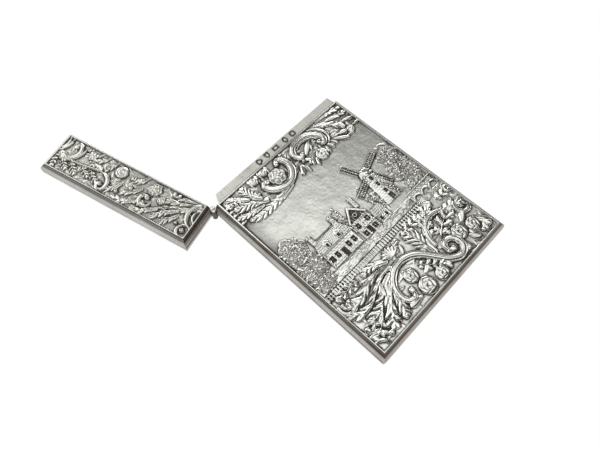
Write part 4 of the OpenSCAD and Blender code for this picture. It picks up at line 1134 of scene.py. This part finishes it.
# Front sheet of the lid
# Struck as the case's front is, with its own scrollwork; it is soldered into
# its frame of moulding. Drawn shut, and then swung open by the hinge's angle.
lid_mouth, lid_top = 41.91, 58.41
lid_faces = 110000
hinge_line = Vector((-36.2, 41.83, 0)) * MM
opening = Matrix.Rotation(math.radians(104.0), 4, "Z")
swing = Matrix.Translation(hinge_line) @ opening @ Matrix.Translation(-hinge_line)
lid = Die(lid_mouth, lid_top)
sink(
    lid, plume,
    (((-33.4, 0.9), (-28.4, 2.8), (-23, 4.6), (-16.6, 7.2)), 3, 5, 0.1, 0.46),
    (((-32.6, 2.2), (-28.4, 5.2), (-24, 7.8), (-19.6, 8.4)), 3, 4, 0.1, 0.48),
    (((-31.6, 0.7), (-27, 1.6), (-22.6, 2.8), (-19.2, 1.4)), 2.2, 4, 0.08, 0.44),
    (((-26.4, 8.6), (-25.2, 11), (-23.2, 13.4), (-21.4, 15.6)), 2.8, 4, 0.1, 0.5),
    (((-25.4, 7.6), (-22.4, 9.6), (-19.6, 12.2), (-17.2, 15)), 3, 4, 0.1, 0.48),
    (((-17.6, 11), (-14.8, 12.8), (-11.8, 14.8), (-7.6, 15.4)), 2.8, 4, 0.1, 0.46),
    (((-8.4, 11.8), (-5.2, 13.8), (-2.2, 14.8), (1.2, 14.2)), 2.8, 4, 0.1, 0.48),
    (((-7.2, 0.8), (-5.4, 3.6), (-3.2, 4.8), (-1, 4)), 3.4, 4, 0.12, 0.52),
    (((-7.4, 6.6), (-5.2, 9), (-2.2, 11.2), (-0.4, 11.6)), 2.8, 3, 0.1, 0.46),
    (((1.2, 8.6), (2.6, 11.2), (4.8, 13.2), (7.2, 14.8)), 3, 4, 0.1, 0.5),
    (((11.6, 7.4), (14.4, 6.6), (17.4, 5.4), (20.2, 4.6)), 3.4, 4, 0.12, 0.5),
    (((12.2, 0.9), (13.4, 3.2), (15.6, 4.6), (18.8, 4.4)), 2.6, 3, 0.1, 0.48),
    (((15.4, 0.8), (17, 2.8), (19.2, 3.2), (21.2, 1.2)), 2.4, 3, 0.1, 0.46),
    (((7.8, 1), (8.6, 3.4), (9.6, 5.6), (10.6, 7.2)), 2.4, 3, 0.1, 0.46), up=lid_mouth)
sink(
    lid, acanthus,
    (15, 9.6, 128, 40, 6.2, 3, 4, 0.1, 0.46), (19.4, 9.8, 140, 20, 5.6, 3, 4, 0.1, 0.48),
    (24.8, 10.4, 136, 10, 6, 3.2, 4, 0.1, 0.48), (29, 10.6, 132, 16, 5.4, 3.2, 4, 0.1, 0.48),
    (32.6, 11, 118, -20, 4.6, 2.8, 3, 0.1, 0.46), (-12, 10.6, 40, -30, 4.6, 2.4, 3, 0.08, 0.44), up=lid_mouth)
sink(
    lid, s_scroll,
    (((8.6, 8.4), (11.6, 8), (15.4, 8.4), (20, 9.2), (26.6, 9.8), (33.4, 10.2)), 1, 0.14, 0.56, 0),
    (((-20.6, 9.4), (-18.2, 9.8), (-15.6, 11.4), (-13.4, 12.6)), 1, 0.14, 0.52, 0), up=lid_mouth)
sink(
    lid, c_scroll,
    (-31.6, 13.8, 2.7, 2.4, -130, 150, 1.3, 0.24, 0.7), (-34.8, 6.2, 5.8, 5.4, -60, 66, 1.7, 0.24, 0.7),
    (-35, 6.2, 3.4, 3.2, -66, 74, 1.2, 0.2, 0.66), (-10.9, 9.6, 3.1, 1.2, 160, -130, 1.8, 0.3, 0.8, 0, 1),
    (10.6, 12.4, 4.6, 4.4, 150, 262, 1.9, 0.3, 0.8), (8.4, 13.4, 1.9, 0.8, 170, -60, 1.4, 0.3, 0.74, 0, 1),
    (28.6, 4.8, 4.6, 3.6, 66, 250, 1.8, 0.28, 0.78),
    (26.6, 3.2, 1.8, 0.7, 200, 400, 1.3, 0.28, 0.74, 0, 1.05),
    (30.6, 2.4, 8.4, 7.6, 92, 176, 1.5, 0.22, 0.66), (36.4, 3, 4.6, 4.4, 110, 220, 1.2, 0.2, 0.62),
    (36.8, 2.4, 6.4, 6.2, 118, 200, 1.2, 0.2, 0.6), up=lid_mouth)
sink(lid, blossom, (-12.4, 4.2, 2.7, 6, 0.18), (18.6, 4, 1.8, 5, 0.12), up=lid_mouth)
sink(lid, rose, (4, 4.2, 2.7, 5, 0.22), (-17.2, 7, 1.7, 5, 0.14), up=lid_mouth)
sink(
    lid, bead,
    (-31.2, 13.6, 1, 0.3), (-27.4, 12, 0.7, 0.2), (-3.6, 8.4, 0.9, 0.2), (1, 12.2, 0.8, 0.2),
    (-22.4, 2, 0.9, 0.2), (15.4, 7.4, 0.7, 0.2), (21.6, 2.4, 0.8, 0.2), up=lid_mouth)
under_leaves(lid, -33, 33, lid_mouth + 0.6, lid_top - 0.6, 300, 1.5, 3.0, 0.15)
matted(lid)
lid_silver = silver_finish("struck silver of the lid", (0.65, 0.645, 0.60), sunk_stain_and_shade, 0.20, 0.50, 0.20,
                           140.0, 0.08, 300.0, sunk_parts(0.10, 0.80, 0.10))
lid_front_sheet = strike("lid_front_sheet", lid, lid_silver, 0.95, lid_faces, swing=swing)
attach(lid_front_sheet, "lid")
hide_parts("lid_front_panel")

# Back sheet of the lid
# Struck from a die of its own, as shallow as the case's back and the same to
# both sides of a plain oval, and soldered into the same frame of moulding.
lid_back = Die(lid_mouth, lid_top)
sink(
    lid_back, c_scroll,
    (8.6, 11.4, 2.6, 1, 60, -190, 1.8, 0.1, 0.7, 0, 0.8),
    (28.2, 4.6, 3.6, 1.2, 80, 380, 1.9, 0.1, 0.7, 0, 0.8),
    (19, 8, 4.4, 3.4, 200, -20, 1.8, 0.1, 0.7, 0, 0.7), up=lid_mouth)
sink(
    lid_back, acanthus,
    (9, 3, 4, 20, 12, 3.8, 5, 0.06, 0.5), (7.4, 9.6, 350, 16, 13, 3.2, 5, 0.06, 0.5),
    (24, 13, 350, 10, 8, 3.4, 4, 0.06, 0.5), up=lid_mouth)
sink(lid_back, rose, (18.6, 6.4, 1.9, 5, 0.1), up=lid_mouth)
under_leaves(lid_back, 3, 33, lid_mouth + 0.6, lid_top - 0.6, 210)
lid_back.h = np.maximum(lid_back.h, lid_back.h[:, ::-1])
lid_back.round(0, lid_mouth + 8, 5.2, lambda r, a: np.where(r > 0.82, 0.7, 0.0), 0, 0.8)
matted(lid_back, 0.02, 0.0)
lid_back_sheet = strike("lid_back_sheet", lid_back, struck_silver, back_limit, lid_faces, True, swing)
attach(lid_back_sheet, "lid")
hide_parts("lid_back_panel")

# Mouldings of the lid
# The same half round hollow strip round the lid's two sheets. Its top moulding is painted lighter than all
# the others, as painted light: paler silver, less metallic, and the least painted shade in its bands.
painted_light_top_silver = drawn_silver("lid top silver", (0.80, 0.80, 0.77), 0.15, 0.32, 0.40, 1.0,
                          0.80, 0.66, 0.26, 0.20, 0.00, 0.00, 0.40, 0.40, 0.10, 0.14, 0.56, 0.56, 0.10)
dress(painted_light_top_silver, "lid_top_moulding")
dress(moulding_silver, "lid_hinge_side_moulding", "lid_free_side_moulding", "lid_bearer")

# Hinge
# Five knuckles of drawn tube on one pin, soldered by turns into the lid's and
# the case's bearer. Below 6.3 mm of height the barrel is painted dark, as painted shade; above 6.7 mm, on the
# top knuckle, it is left bright.
hinge_silver = silver_finish(
    "hinge silver", (0.88, 0.87, 0.84), (0.075, 0.062, 0.052), 0.18, 0.5, 0.2, 200.0, 0.12, 260.0,
    painted_shade_by_height(((0.0, 0.94), (6.3, 0.94), (6.7, 0.02))))
dress(hinge_silver, "lid_knuckle_bottom", "body_knuckle_lower", "lid_knuckle_middle", "body_knuckle_upper",
      "lid_knuckle_top")
pin_silver = silver_finish("pin silver", (0.74, 0.73, 0.70), (0.14, 0.12, 0.11), 0.26, 0.5, 0.4, 300.0, 0.1,
                           300.0)
dress(pin_silver, "hinge_pin")
